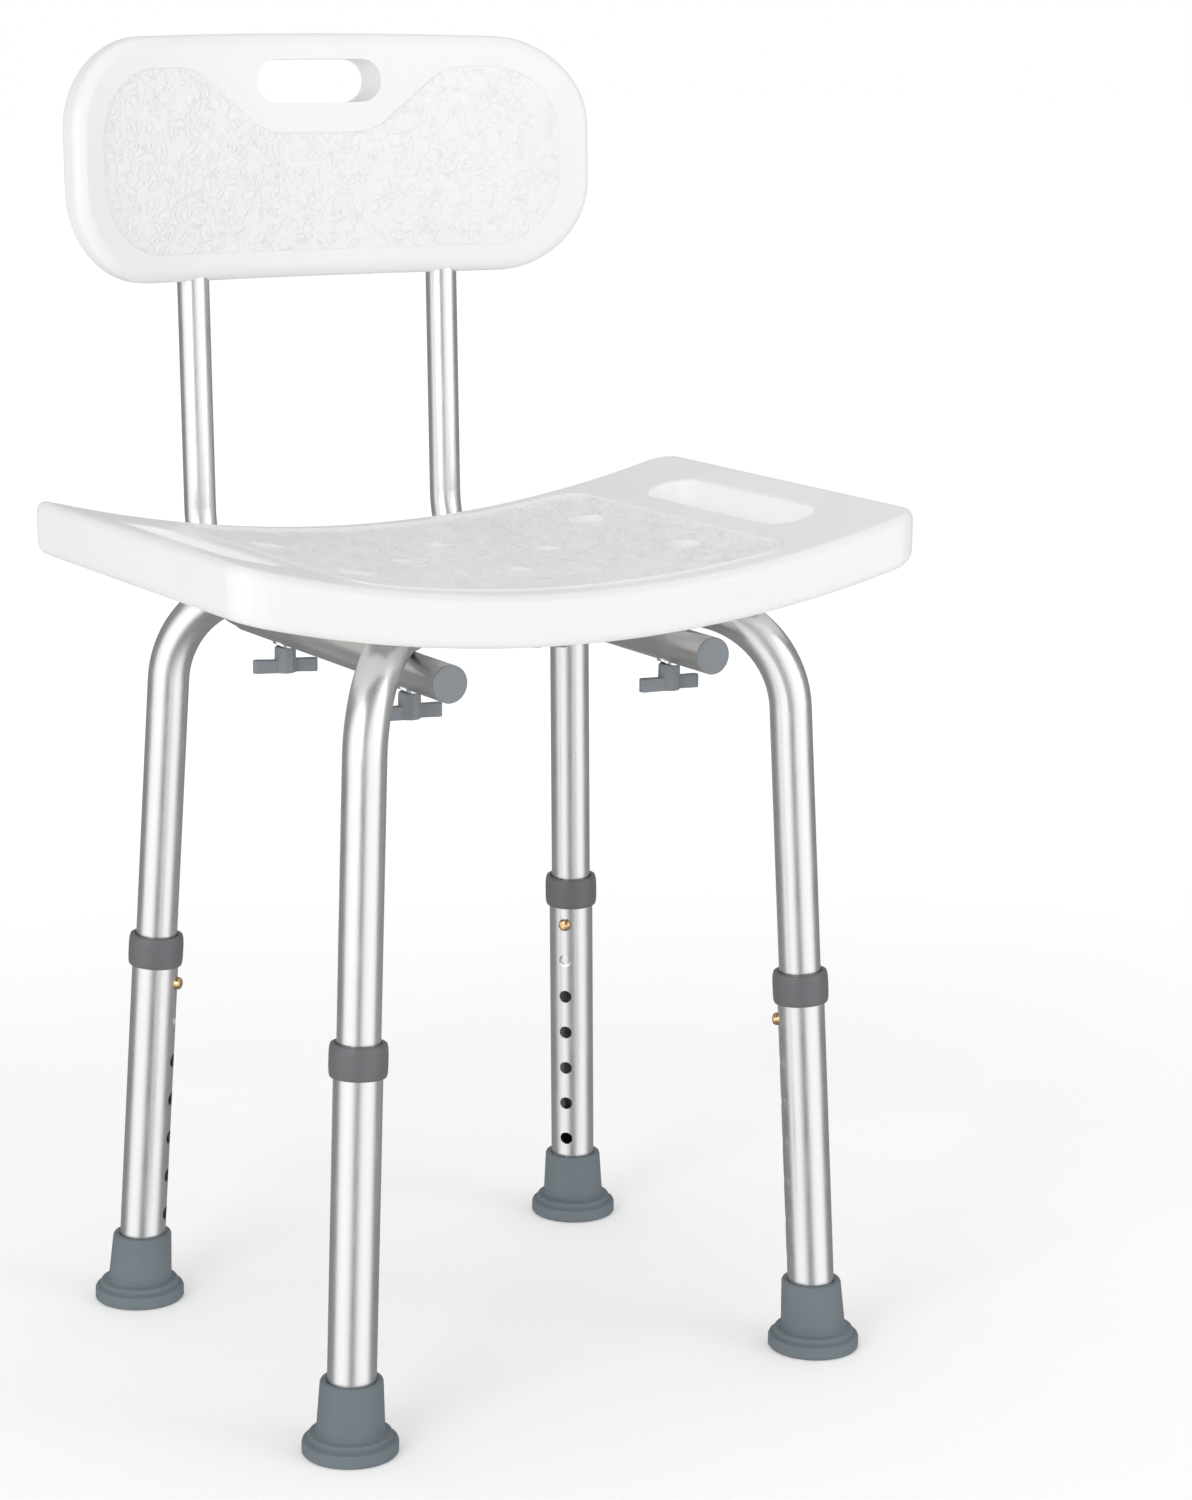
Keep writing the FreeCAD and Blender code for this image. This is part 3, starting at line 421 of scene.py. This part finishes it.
quarter = math.pi / 2
whitePlastic = plasticMaterial("whitePlastic", (0.86, 0.855, 0.845), 0.42, 0.02, 900, 0.00002)
embossedPlastic = plasticMaterial(
    "embossedPlastic", (0.865, 0.86, 0.85), 0.5, 0.03, 1500, 0.00003,
    emboss={"scale": 130, "depth": 0.0004}
)
seatPlastic = plasticMaterial(
    "seatPlastic", (0.89, 0.882, 0.87), 0.5, 0.03, 1500, 0.00003,
    emboss={"scale": 300, "depth": 0.0004}
)
# painted glow: a weak emission on the walls of the drains and grips, standing in for light that comes through
# the holes
paintedGlowPlastic = plasticMaterial(
    "paintedGlowPlastic", (0.86, 0.855, 0.845), 0.42, 0.02, 900, 0.00002,
    Emission_Color=(1, 0.99, 0.97, 1), Emission_Strength=0.08
)
collarPlastic = plasticMaterial("collarPlastic", (0.135, 0.135, 0.145), 0.38, 0.12, 700, 0.00003)
greyPlastic = plasticMaterial("greyPlastic", (0.215, 0.235, 0.255), 0.42, 0.14, 600, 0.00005)
tipRubber = plasticMaterial("tipRubber", (0.16, 0.192, 0.212), 0.62, 0.16, 500, 0.00009)
tubeMetal = metalMaterial("tubeMetal", (0.80, 0.80, 0.805), 0.31, 0.10, 0.000006)
railMetal = metalMaterial("railMetal", (0.72, 0.715, 0.70), 0.33, 0.12, 0.000006, turn=(quarter, 0, 0))
stampMetal = metalMaterial("stampMetal", (0.90, 0.90, 0.90), 0.45, 0.05, 0.000004)
brassMetal = metalMaterial("brassMetal", (0.80, 0.56, 0.30), 0.20, 0.04, 0.000002)
brightSteel = metalMaterial("brightSteel", (0.86, 0.86, 0.87), 0.16, 0.04, 0.000002)
print("materials:", len(bpy.data.materials))

# CAD nodes that keep their shape, and their finishes
keptNodes = [
    ("crossing_tube_", tubeMetal), ("lower_leg_", tubeMetal), ("back_post_", tubeMetal),
    ("support_tube_", railMetal), ("centre_rivet", brightSteel), ("seat_nuts", brassMetal),
    ("leg_button_spring_", brightSteel), ("back_button_spring_", brightSteel), ("leg_button_", brassMetal),
    ("back_button_", brassMetal), ("knob_bolt_", brightSteel), ("saddle_washer_", brightSteel),
    ("tip_washer_", brightSteel), ("backrest_screws", brightSteel),
]
for name, node in nodes.items():
    for start, material in keptNodes:
        if name.startswith(start):
            paint(node, material)
            break

# the seat is shaped flat and then bent
seat = dict(
    width=458, depth=286, thickness=31, corner=20, edge=6.5, curve=833, rimTop=487.5,
    panelWidth=288, panelDepth=244, panelSink=1.5, panelSoft=0.45, panelMargin=6,
    beadWidth=3.4, beadHeight=1.1, beadRoot=2, panelOver=5,
    gripWidth=34, gripLength=156, gripCentre=183, gripSoft=3.0,
    drains=[(112, 55, 11), (112, -55, 11), (-112, 55, 11), (-112, -55, 11),
            (50, 0, 8), (-50, 0, 8), (0, 50, 8), (0, -50, 8)],
    drainSoft=1.3, slices=58, channelRadius=13.0, channelReach=176, channelDrop=60,
    nutRadius=5.1, nutLow=440, nutTop=484.6, cutLow=-60, cutHigh=20,
)


def makeSeat():
    piece = roundedBlock(
        "seat", seat["width"] * mm, seat["depth"] * mm, -seat["thickness"] * mm, 0, seat["corner"] * mm
    )
    pickSharp(piece, lambda a, b: True)
    bevelPicked(seat["edge"] * mm, 5)
    bead = roundedBlock(
        "bead", (seat["panelWidth"] + 2 * seat["beadWidth"]) * mm,
        (seat["panelDepth"] + 2 * seat["beadWidth"]) * mm, -seat["beadRoot"] * mm, seat["beadHeight"] * mm,
        (seat["corner"] + seat["beadWidth"]) * mm,
    )
    combine(piece, bead, "UNION")
    panel = roundedBlock(
        "panel", seat["panelWidth"] * mm, seat["panelDepth"] * mm, -seat["panelSink"] * mm,
        seat["panelOver"] * mm, seat["corner"] * mm,
    )
    combine(piece, panel, "DIFFERENCE")
    floor = -seat["panelSink"] * mm
    halfWide = (seat["panelWidth"] / 2 + seat["panelMargin"]) * mm
    halfDeep = (seat["panelDepth"] / 2 + seat["panelMargin"]) * mm
    inPanel = lambda v: abs(v.x) < halfWide and abs(v.y) < halfDeep
    pickSharp(piece, lambda a, b: inPanel(a) and inPanel(b) and min(a.z, b.z) > floor - 1e-5)
    bevelPicked(seat["panelSoft"] * mm, 2)
    for side in (-1, 1):
        grip = rod(
            "grip", seat["gripWidth"] / 2 * mm, seat["cutLow"] * mm, seat["cutHigh"] * mm,
            at=(side * seat["gripCentre"] * mm, 0), segments=64,
            stretch=(seat["gripLength"] - seat["gripWidth"]) * mm,
        )
        combine(piece, grip, "DIFFERENCE")
    gripNear = (seat["gripCentre"] - seat["gripWidth"] / 2 - 1) * mm
    gripFar = (seat["gripCentre"] + seat["gripWidth"] / 2 + 1) * mm
    half = (seat["gripLength"] / 2 + 1) * mm
    inGrip = lambda v: gripNear < abs(v.x) < gripFar and abs(v.y) < half
    pickSharp(piece, lambda a, b: inGrip(a) and inGrip(b) and abs(a.z - b.z) < 1e-5)
    bevelPicked(seat["gripSoft"] * mm, 4)
    for x, y, radius in seat["drains"]:
        drain = rod(
            "drain", radius * mm, seat["cutLow"] * mm, seat["cutHigh"] * mm, at=(x * mm, y * mm), segments=40
        )
        combine(piece, drain, "DIFFERENCE")
    inDrain = lambda v: any(
        math.hypot(v.x - x * mm, v.y - y * mm) < (radius + 0.5) * mm for x, y, radius in seat["drains"]
    )
    pickSharp(piece, lambda a, b: inDrain(a) and inDrain(b) and abs(a.z - b.z) < 1e-5)
    bevelPicked(seat["drainSoft"] * mm, 3)
    paint(piece, whitePlastic, seatPlastic, paintedGlowPlastic)
    for face in piece.data.polygons:
        spot = face.center
        textured = inPanel(spot) and spot.z > floor - 1.4 * mm and spot.z < floor + 0.3 * mm
        # the walls of the drains and grips get the painted glow material, a weak emission standing in for
        # light through the holes
        paintedGlowWall = (inDrain(spot) or inGrip(spot)) and abs(face.normal.z) < 0.7
        face.material_index = 1 if textured and not inDrain(spot) else 2 if paintedGlowWall else 0
    sliceAcross(piece, seat["width"] * mm, seat["slices"])
    radius = seat["curve"] * mm
    middle = seat["rimTop"] * mm + radius
    reshape(piece, lambda x, y, z: (x, y, middle - math.sqrt((radius - z) ** 2 - x * x)))
    # channels for the crossing tubes and pockets for the nuts, on the underside
    for angle in (chair["legAngle"], -chair["legAngle"]):
        reach = seat["channelReach"] * mm
        channel = rod("channel", seat["channelRadius"] * mm, -reach, reach)
        settle(channel, Matrix.Rotation(quarter, 4, "Y"))
        pick(channel, "VERT", lambda co: co.z < -1e-5)
        bpy.ops.transform.translate(value=(0, 0, -seat["channelDrop"] * mm))
        bpy.ops.object.mode_set(mode="OBJECT")
        turn = Matrix.Rotation(math.radians(angle), 4, "Z")
        settle(channel, Matrix.Translation((0, 0, chair["frameHeight"] * mm)) @ turn)
        combine(piece, channel, "DIFFERENCE")
    for corner in corners:
        pocket = rod("pocket", seat["nutRadius"] * mm, seat["nutLow"] * mm, seat["nutTop"] * mm, segments=24)
        settle(pocket, knobPlace(corner, 0))
        combine(piece, pocket, "DIFFERENCE")
    soften(piece)
    return piece


seatPiece = makeSeat()
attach(seatPiece, "frame")
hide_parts("seat_shell")
print("seat:", len(seatPiece.data.polygons), "faces")

# the backrest is shaped flat with its front upwards, then bent and stood up
backrest = dict(
    width=364, height=152, thickness=26, corner=58, edge=9.0, crown=4.5, bottom=199.6, curve=500,
    slotWidth=88, slotHeight=27, slotMiddle=122.5, slotSoft=4.5, cutReach=40,
    panelWidth=322, panelLow=17, panelHigh=131, panelCorner=44, panelSink=1.1, panelOver=6,
    panelSoft=0.5,
    dipTop=176, dipBottom=76, dipLow=90.5, dipSoft=11, dipDeep=30, dipFlare=0.25,
    crownSlices=24, slices=52,
    screwHeights=(24, 84), screwSeat=12.1, screwCut=30, screwRadius=5.5,
)


def makeBackrest():
    half = backrest["thickness"] / 2 * mm
    height = backrest["height"] * mm
    piece = roundedBlock(
        "backrest", backrest["width"] * mm, height, -half, half, backrest["corner"] * mm, segments=20
    )
    settle(piece, Matrix.Translation((0, height / 2, 0)))
    wide = backrest["width"] / 2 * mm
    pick(piece, "EDGE", lambda a, b: False)
    bpy.ops.mesh.edges_select_sharp(sharpness=math.radians(60))
    bevelPicked(backrest["edge"] * mm, 8)
    sliceAcross(piece, backrest["width"] * mm, backrest["crownSlices"])
    crown = backrest["crown"] * mm
    reshape(piece, lambda x, y, z: (x, y - crown * (x / wide) ** 2 * max(0, 2 * y / height - 1), z))
    slot = rod(
        "slot", backrest["slotHeight"] / 2 * mm, -backrest["cutReach"] * mm, backrest["cutReach"] * mm,
        segments=64, stretch=(backrest["slotWidth"] - backrest["slotHeight"]) * mm,
    )
    settle(slot, Matrix.Translation((0, backrest["slotMiddle"] * mm, 0)) @ Matrix.Rotation(quarter, 4, "Z"))
    combine(piece, slot, "DIFFERENCE")
    nearSlot = lambda v: abs(v.x) < (backrest["slotWidth"] / 2 + 1) * mm and abs(
        v.y - backrest["slotMiddle"] * mm) < (backrest["slotHeight"] / 2 + 1) * mm
    pickSharp(piece, lambda a, b: nearSlot(a) and nearSlot(b) and abs(a.z - b.z) < 1e-5)
    bevelPicked(backrest["slotSoft"] * mm, 5)
    # the embossed panel dips under the slot
    tall = (backrest["panelHigh"] - backrest["panelLow"]) * mm
    middle = (backrest["panelHigh"] + backrest["panelLow"]) / 2 * mm
    sunk = half - backrest["panelSink"] * mm
    panel = roundedBlock(
        "panel", backrest["panelWidth"] * mm, tall, sunk, half + backrest["panelOver"] * mm,
        backrest["panelCorner"] * mm, segments=14,
    )
    settle(panel, Matrix.Translation((0, middle, 0)))
    dipTall = (backrest["panelHigh"] - backrest["dipLow"]) * mm
    bpy.ops.object.select_all(action="DESELECT")
    bpy.ops.mesh.primitive_cube_add(
        size=1, location=(0, backrest["dipLow"] * mm + dipTall / 2, half),
        scale=(backrest["dipTop"] * mm, dipTall, backrest["dipDeep"] * mm),
    )
    dip = newest("dip")
    pick(dip, "VERT", lambda co: co.y < backrest["dipLow"] * mm + 1e-5)
    narrow = backrest["dipBottom"] / backrest["dipTop"]
    bpy.ops.transform.resize(value=(narrow, 1, 1), center_override=(0, 0, 0))
    bpy.ops.mesh.select_all(action="DESELECT")
    bpy.ops.object.mode_set(mode="OBJECT")
    pick(dip, "VERT", lambda co: co.y > backrest["panelHigh"] * mm - 1e-5)
    flare = (backrest["dipTop"] - backrest["dipBottom"]) * backrest["dipFlare"]
    spread = (backrest["dipTop"] + flare) / backrest["dipTop"]
    bpy.ops.transform.resize(value=(spread, 1, 1), center_override=(0, 0, 0))
    bpy.ops.transform.translate(value=(0, dipTall * backrest["dipFlare"], 0))
    bpy.ops.object.mode_set(mode="OBJECT")
    combine(panel, dip, "DIFFERENCE")
    nearDip = lambda v: abs(v.x) < (backrest["dipTop"] / 2 + 3) * mm
    pickSharp(panel, lambda a, b: nearDip(a) and nearDip(b) and abs(a.z - b.z) > 2 * mm, angle=25)
    bevelPicked(backrest["dipSoft"] * mm, 8)
    combine(piece, panel, "DIFFERENCE")
    onFront = lambda v: v.z > sunk - 1e-5 and not nearSlot(v)
    pickSharp(piece, lambda a, b: onFront(a) and onFront(b) and abs(a.z - b.z) < 1e-5, angle=50)
    bevelPicked(backrest["panelSoft"] * mm, 3)
    paint(piece, whitePlastic, embossedPlastic)
    for face in piece.data.polygons:
        face.material_index = 1 if abs(face.center.z - sunk) < 0.05 * mm and face.normal.z > 0.9 else 0
    # flats for the four screws, on the rear
    for side in (-1, 1):
        for low in backrest["screwHeights"]:
            flat = rod(
                "flat", backrest["screwRadius"] * mm, -backrest["screwCut"] * mm, -backrest["screwSeat"] * mm,
                at=(side * chair["railSpread"] * mm, low * mm), segments=32,
            )
            combine(piece, flat, "DIFFERENCE")
    sliceAcross(piece, backrest["width"] * mm, backrest["slices"])
    radius = backrest["curve"] * mm
    centre = -math.sqrt(radius**2 - (chair["railSpread"] * mm) ** 2)
    bottom = backrest["bottom"] * mm
    reshape(piece, lambda x, y, z: (x, centre + math.sqrt((radius - z) ** 2 - x * x), y + bottom))
    stand = Matrix.Translation((0, chair["postLine"] * mm, railHeight * mm))
    settle(piece, stand @ Matrix.Rotation(math.radians(-chair["postLean"]), 4, "X"))
    soften(piece)
    return piece


backrestPiece = makeBackrest()
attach(backrestPiece, "backrest")
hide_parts("backrest_shell")
print("backrest:", len(backrestPiece.data.polygons), "faces")

# radius and height of each turned outline on the legs
collar = dict(low=221.4, outline=[
    (14.32, 0.0), (16.3, 0.0), (16.75, 1.4), (17.0, 5.0), (17.0, 12.5), (16.8, 16.5), (16.2, 18.9),
    (14.9, 19.5), (13.5, 19.3), (12.95, 18.3), (12.86, 17.0), (12.86, 15.1), (14.32, 15.1),
])
tip = dict(
    outline=[
        (24.0, 0.0), (27.2, 0.0), (28.0, 0.9), (28.0, 6.3), (27.5, 7.5), (26.6, 8.0), (25.0, 8.1),
        (24.5, 8.5), (24.4, 10.9), (23.9, 11.7), (22.9, 12.0), (21.2, 12.1), (20.2, 12.6), (19.9, 13.6),
    ],
    neckOutline=[
        (19.85, 14.5), (18.35, 41.6), (17.8, 42.7), (16.6, 43.0), (14.9, 42.8), (14.33, 42.0),
        (14.33, 30.0), (14.33, 9.6),
    ],
    leanFrom=12.3, leanBlend=3, leanBase=4.0,
)
numeral = dict(size=5.2, letter=1.4, turn=40.0, proud=0.05, depth=0.1, round=0.04, thin=0.00002)


def makeCollar():
    piece = turnedPiece("collar", [(r * mm, z * mm) for r, z in collar["outline"]], 72, closed=True)
    settle(piece, Matrix.Translation((0, 0, collar["low"] * mm)))
    paint(piece, collarPlastic)
    return piece


def makeTip():
    # the flange stands level and the neck leans with the leg
    points = tip["outline"] + tip["neckOutline"]
    piece = turnedPiece("tip", [(r * mm, z * mm) for r, z in points], 80)
    lean = math.tan(math.radians(chair["legSplay"]))
    base = tip["leanBase"] * mm
    flangeTop = tip["leanFrom"] * mm

    def leanNeck(x, y, z):
        if z < flangeTop:
            return x, y, z
        share = min(1, (z - flangeTop) / (tip["leanBlend"] * mm))
        return x - (z - base * share) * lean * share, y, z

    reshape(piece, leanNeck)
    paint(piece, tipRubber)
    return piece


def makeNumeral(text, height):
    bpy.ops.object.select_all(action="DESELECT")
    bpy.ops.object.text_add()
    words = bpy.context.object
    words.data.body = text
    words.data.size = numeral["size"] * mm * numeral["letter"]
    words.data.align_x = "CENTER"
    words.data.align_y = "CENTER"
    words.data.extrude = numeral["depth"] * mm
    words.data.bevel_depth = numeral["round"] * mm
    words.data.bevel_resolution = 1
    words.data.offset = -numeral["thin"]
    bpy.ops.object.convert(target="MESH")
    piece = newest("numeral")
    radius = chair["legTube"] / 2 * mm
    start = math.pi + math.radians(numeral["turn"])

    def wrap(x, y, z):
        out = radius - numeral["depth"] * mm + z + numeral["proud"] * mm - numeral["round"] * mm
        return out * math.cos(start + x / radius), out * math.sin(start + x / radius), height * mm + y

    reshape(piece, wrap)
    return piece


collarPiece = makeCollar()
tipPiece = makeTip()
numerals = []
for number in range(chair["holeCount"]):
    text = str(chair["holeCount"] - number)
    numerals.append(makeNumeral(text, chair["pinHeight"] - number * chair["holePitch"]))
selectOnly(numerals[0])
for piece in numerals:
    piece.select_set(True)
bpy.ops.object.join()
stampPiece = bpy.context.object
paint(stampPiece, stampMetal)

for corner in corners:
    body = "leg_" + corner
    ring = copyOf(collarPiece, "collar_" + corner)
    settle(ring, alongLeg(corner))
    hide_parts("leg_collar_" + corner)
    foot = copyOf(tipPiece, "tip_" + corner)
    settle(foot, uprightAt(corner))
    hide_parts("rubber_tip_" + corner)
    stamps = copyOf(stampPiece, "numerals_" + corner)
    settle(stamps, alongLeg(corner))
    for piece in (ring, foot, stamps):
        soften(piece)
        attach(piece, body)
for piece in (collarPiece, tipPiece, stampPiece):
    bpy.data.objects.remove(piece)
print("legs: collars, tips and numerals")

# end caps in the support tubes, and the wing knobs under them
cap = dict(outline=[
    (9.0, 11.0), (10.0, 10.0), (10.05, 0.05), (11.05, 0.0), (11.1, -0.35), (11.1, -1.4), (10.75, -1.85),
    (10.2, -2.0), (9.7, -1.98), (9.4, -1.8), (9.1, -1.8), (8.8, -1.95), (0.4, -2.0),
])
knob = dict(
    hub=6.9, height=16.0, facets=10, span=20.0, wing=6.4, wingHeight=8.0, offset=2.0, soft=0.7,
    wingThin=0.78, cuts=(0.55, 0.78), lobe=1.22, lobeFrom=0.7, lobeRound=2.4,
    boreRadius=3.1, boreLow=-13, boreHigh=2,
    turns={"front_left": -12, "rear_left": -20, "rear_right": -40, "front_right": -8}, top=426.4,
)


def makeCap():
    piece = turnedPiece("cap", [(r * mm, z * mm) for r, z in cap["outline"]], 64)
    paint(piece, greyPlastic)
    return piece


def makeKnob():
    # top at zero, wings at the foot, set off to either side of the hub
    hub = turnedPiece(
        "knob",
        [(r * mm, z * mm) for r, z in (
            (knob["hub"] - 0.5, -knob["height"]), (knob["hub"], -knob["height"] + 0.6),
            (knob["hub"] - 0.3, -1.0), (knob["hub"] - 0.9, 0.0))],
        knob["facets"],
    )
    for side in (-1, 1):
        low, high = -knob["height"], -knob["height"] + knob["wingHeight"]
        bpy.ops.object.select_all(action="DESELECT")
        bpy.ops.mesh.primitive_cube_add(
            size=1,
            location=(side * knob["span"] / 2 * mm, side * knob["offset"] * mm, (low + high) / 2 * mm),
            scale=(knob["span"] * mm, knob["wing"] * knob["wingThin"] * mm, knob["wingHeight"] * mm),
        )
        wing = newest("wing")
        bpy.ops.object.mode_set(mode="EDIT")
        for share in knob["cuts"]:
            bpy.ops.mesh.select_all(action="SELECT")
            bpy.ops.mesh.bisect(plane_co=(side * knob["span"] * share * mm, 0, 0), plane_no=(1, 0, 0))
        bpy.ops.object.mode_set(mode="OBJECT")
        pick(wing, "VERT", lambda co: abs(co.x) > knob["span"] * knob["lobeFrom"] * mm)
        centre = (0, side * knob["offset"] * mm, 0)
        bpy.ops.transform.resize(value=(1, knob["lobe"], 1), center_override=centre)
        bpy.ops.object.mode_set(mode="OBJECT")
        end = (knob["span"] - 0.1) * mm
        pick(wing, "EDGE", lambda a, b: abs(a.x) > end and abs(b.x) > end and abs(a.z - b.z) > mm)
        bevelPicked(knob["lobeRound"] * mm, 5)
        combine(hub, wing, "UNION")
    modify(
        hub, "BEVEL", width=knob["soft"] * mm, segments=3, limit_method="ANGLE", angle_limit=math.radians(28)
    )
    bolt = rod("bolt", knob["boreRadius"] * mm, knob["boreLow"] * mm, knob["boreHigh"] * mm, segments=32)
    combine(hub, bolt, "DIFFERENCE")
    paint(hub, greyPlastic)
    return hub


capPiece = makeCap()
for side, sx in sides.items():
    piece = copyOf(capPiece, "cap_" + side)
    place = Matrix.Translation((sx * chair["railSpread"] * mm, -chair["railFront"] * mm, railHeight * mm))
    settle(piece, place @ Matrix.Rotation(-quarter, 4, "X"))
    soften(piece)
    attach(piece, "frame")
    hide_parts("end_cap_" + side)
bpy.data.objects.remove(capPiece)

knobPiece = makeKnob()
for corner in corners:
    piece = copyOf(knobPiece, "knob_" + corner)
    turn = Matrix.Rotation(math.radians(knob["turns"][corner]), 4, "Z")
    settle(piece, knobPlace(corner, knob["top"]) @ turn)
    soften(piece)
    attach(piece, "knob_" + corner)
    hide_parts("wing_knob_" + corner)
bpy.data.objects.remove(knobPiece)
print("caps and knobs")

# floor, light and camera
studio = dict(
    floorSize=30.0, floorDrop=0.0002, floorColor=0.93, floorDrift=0.01, floorMottle=3.0, floorRoughness=0.9,
    floorSheen=0.1, nearGlow=0.15, farGlow=0.46, glowFrom=0.6, glowTo=2.2,
    cameraAt=(-1.08027, -1.85915, 0.84231), azimuth=-32.12, elevation=12.44, roll=0.78, lens=86.815,
    worldDim=0.27, worldBright=0.95, worldSoft=0.62, bandAzimuths=(190, -70), bandEdge=(0.66, 0.90),
)

bpy.ops.object.select_all(action="DESELECT")
bpy.ops.mesh.primitive_plane_add(size=studio["floorSize"], location=(0, 0, -studio["floorDrop"]))
floor = newest("floor")
floorPaint, floorTree, floorShader, floorPlace = emptyMaterial("floorPaint")
mottle = addNode(floorTree, "ShaderNodeTexNoise", Vector=floorPlace, Scale=studio["floorMottle"])
floorTone = addNode(floorTree, "ShaderNodeMapRange", Value=mottle.outputs["Fac"],
                    To_Min=studio["floorColor"] - studio["floorDrift"],
                    To_Max=studio["floorColor"] + studio["floorDrift"])
floorTree.links.new(floorTone.outputs["Result"], floorShader.inputs["Base Color"])
floorShader.inputs["Roughness"].default_value = studio["floorRoughness"]
floorShader.inputs["Specular IOR Level"].default_value = studio["floorSheen"]
# the floor glows more away from the chair, where the lamps don't reach
away = addNode(floorTree, "ShaderNodeVectorMath", {"operation": "LENGTH"}, i0=floorPlace)
glow = addNode(floorTree, "ShaderNodeMapRange", Value=away.outputs["Value"], From_Min=studio["glowFrom"],
               From_Max=studio["glowTo"], To_Min=studio["nearGlow"], To_Max=studio["farGlow"])
floorTree.links.new(glow.outputs["Result"], floorShader.inputs["Emission Color"])
floorShader.inputs["Emission Strength"].default_value = 1.0
# the tubes reflect the studio's soft bands, not the floor, and the chair can be seen from below
floorGlass = addNode(floorTree, "ShaderNodeBsdfTransparent")
floorPath = addNode(floorTree, "ShaderNodeLightPath")
floorBack = addNode(floorTree, "ShaderNodeNewGeometry")
floorClear = addNode(floorTree, "ShaderNodeMath", {"operation": "MAXIMUM"},
                     i0=floorPath.outputs["Is Glossy Ray"], i1=floorBack.outputs["Backfacing"])
floorMix = addNode(floorTree, "ShaderNodeMixShader", i0=floorClear.outputs["Value"],
                   i1=floorShader.outputs["BSDF"], i2=floorGlass.outputs["BSDF"])
floorTree.links.new(floorMix.outputs["Shader"], floorTree.nodes["Material Output"].inputs["Surface"])
paint(floor, floorPaint)


def makeWorld():
    # a white surround with two broad soft bands of light, left and right of the view
    world = bpy.data.worlds.new("studio")
    bpy.context.scene.world = world
    world.use_nodes = True
    tree = world.node_tree
    surround = tree.nodes["Background"]
    direction = addNode(tree, "ShaderNodeTexCoord").outputs["Generated"]
    bandFrom, bandTo = studio["bandEdge"]
    total = None
    for azimuth in studio["bandAzimuths"]:
        angle = math.radians(azimuth)
        facing = addNode(tree, "ShaderNodeVectorMath", {"operation": "DOT_PRODUCT"}, i0=direction,
                         i1=(math.cos(angle), math.sin(angle), 0))
        band = addNode(tree, "ShaderNodeMapRange", {"interpolation_type": "SMOOTHSTEP"},
                       Value=facing.outputs["Value"], From_Min=bandFrom, From_Max=bandTo,
                       To_Min=0.0, To_Max=studio["worldBright"]).outputs["Result"]
        if total is not None:
            band = addNode(tree, "ShaderNodeMath", {"operation": "ADD"}, i0=total, i1=band).outputs["Value"]
        total = band
    level = addNode(tree, "ShaderNodeMath", {"operation": "ADD"}, i0=total, i1=studio["worldDim"])
    path = addNode(tree, "ShaderNodeLightPath")
    even = addNode(tree, "ShaderNodeMix", Factor=path.outputs["Is Diffuse Ray"], A=level.outputs["Value"],
                   B=studio["worldSoft"])
    shown = addNode(tree, "ShaderNodeMix", Factor=path.outputs["Is Camera Ray"], A=even.outputs["Result"],
                    B=1.0)
    tree.links.new(shown.outputs["Result"], surround.inputs["Strength"])
    surround.inputs["Color"].default_value = (1, 1, 1, 1)


makeWorld()


def addLamp(name, at, toward, width, height, power):
    bpy.ops.object.select_all(action="DESELECT")
    bpy.ops.object.light_add(type="AREA", location=at)
    lamp = bpy.context.object
    lamp.name = name
    lamp.data.shape = "RECTANGLE"
    lamp.data.size = width
    lamp.data.size_y = height
    lamp.data.energy = power
    lamp.rotation_euler = (Vector(toward) - Vector(at)).to_track_quat("-Z", "Y").to_euler()


lamps = dict(
    overhead=dict(at=(0.2, 0.2, 2.6), toward=(0, 0, 0.3), width=2.4, height=2.4, power=12),
    frontLeft=dict(at=(-2.6, -1.4, 1.4), toward=(0, 0, 0.45), width=1.4, height=1.6, power=24),
    frontRight=dict(at=(1.7, -2.4, 1.3), toward=(0, 0, 0.45), width=1.2, height=1.6, power=11),
)
for name, values in lamps.items():
    addLamp(name, **values)

bpy.ops.object.camera_add(location=studio["cameraAt"])
camera = bpy.context.object
camera.name = "camera"
azimuth, elevation, roll = [math.radians(studio[name]) for name in ("azimuth", "elevation", "roll")]
level = Vector((math.cos(azimuth), math.sin(azimuth), 0))
back = Vector((
    math.sin(azimuth) * math.cos(elevation), -math.cos(azimuth) * math.cos(elevation), math.sin(elevation)
))
up = back.cross(level)
rightward = level * math.cos(roll) + up * math.sin(roll)
upward = up * math.cos(roll) - level * math.sin(roll)
axes = Matrix((rightward, upward, back)).transposed()
camera.matrix_world = Matrix.Translation(studio["cameraAt"]) @ axes.to_4x4()
camera.data.lens = studio["lens"]
camera.data.sensor_width = 36
bpy.context.scene.camera = camera
bpy.context.scene.view_settings.view_transform = "Standard"
print("studio ready")
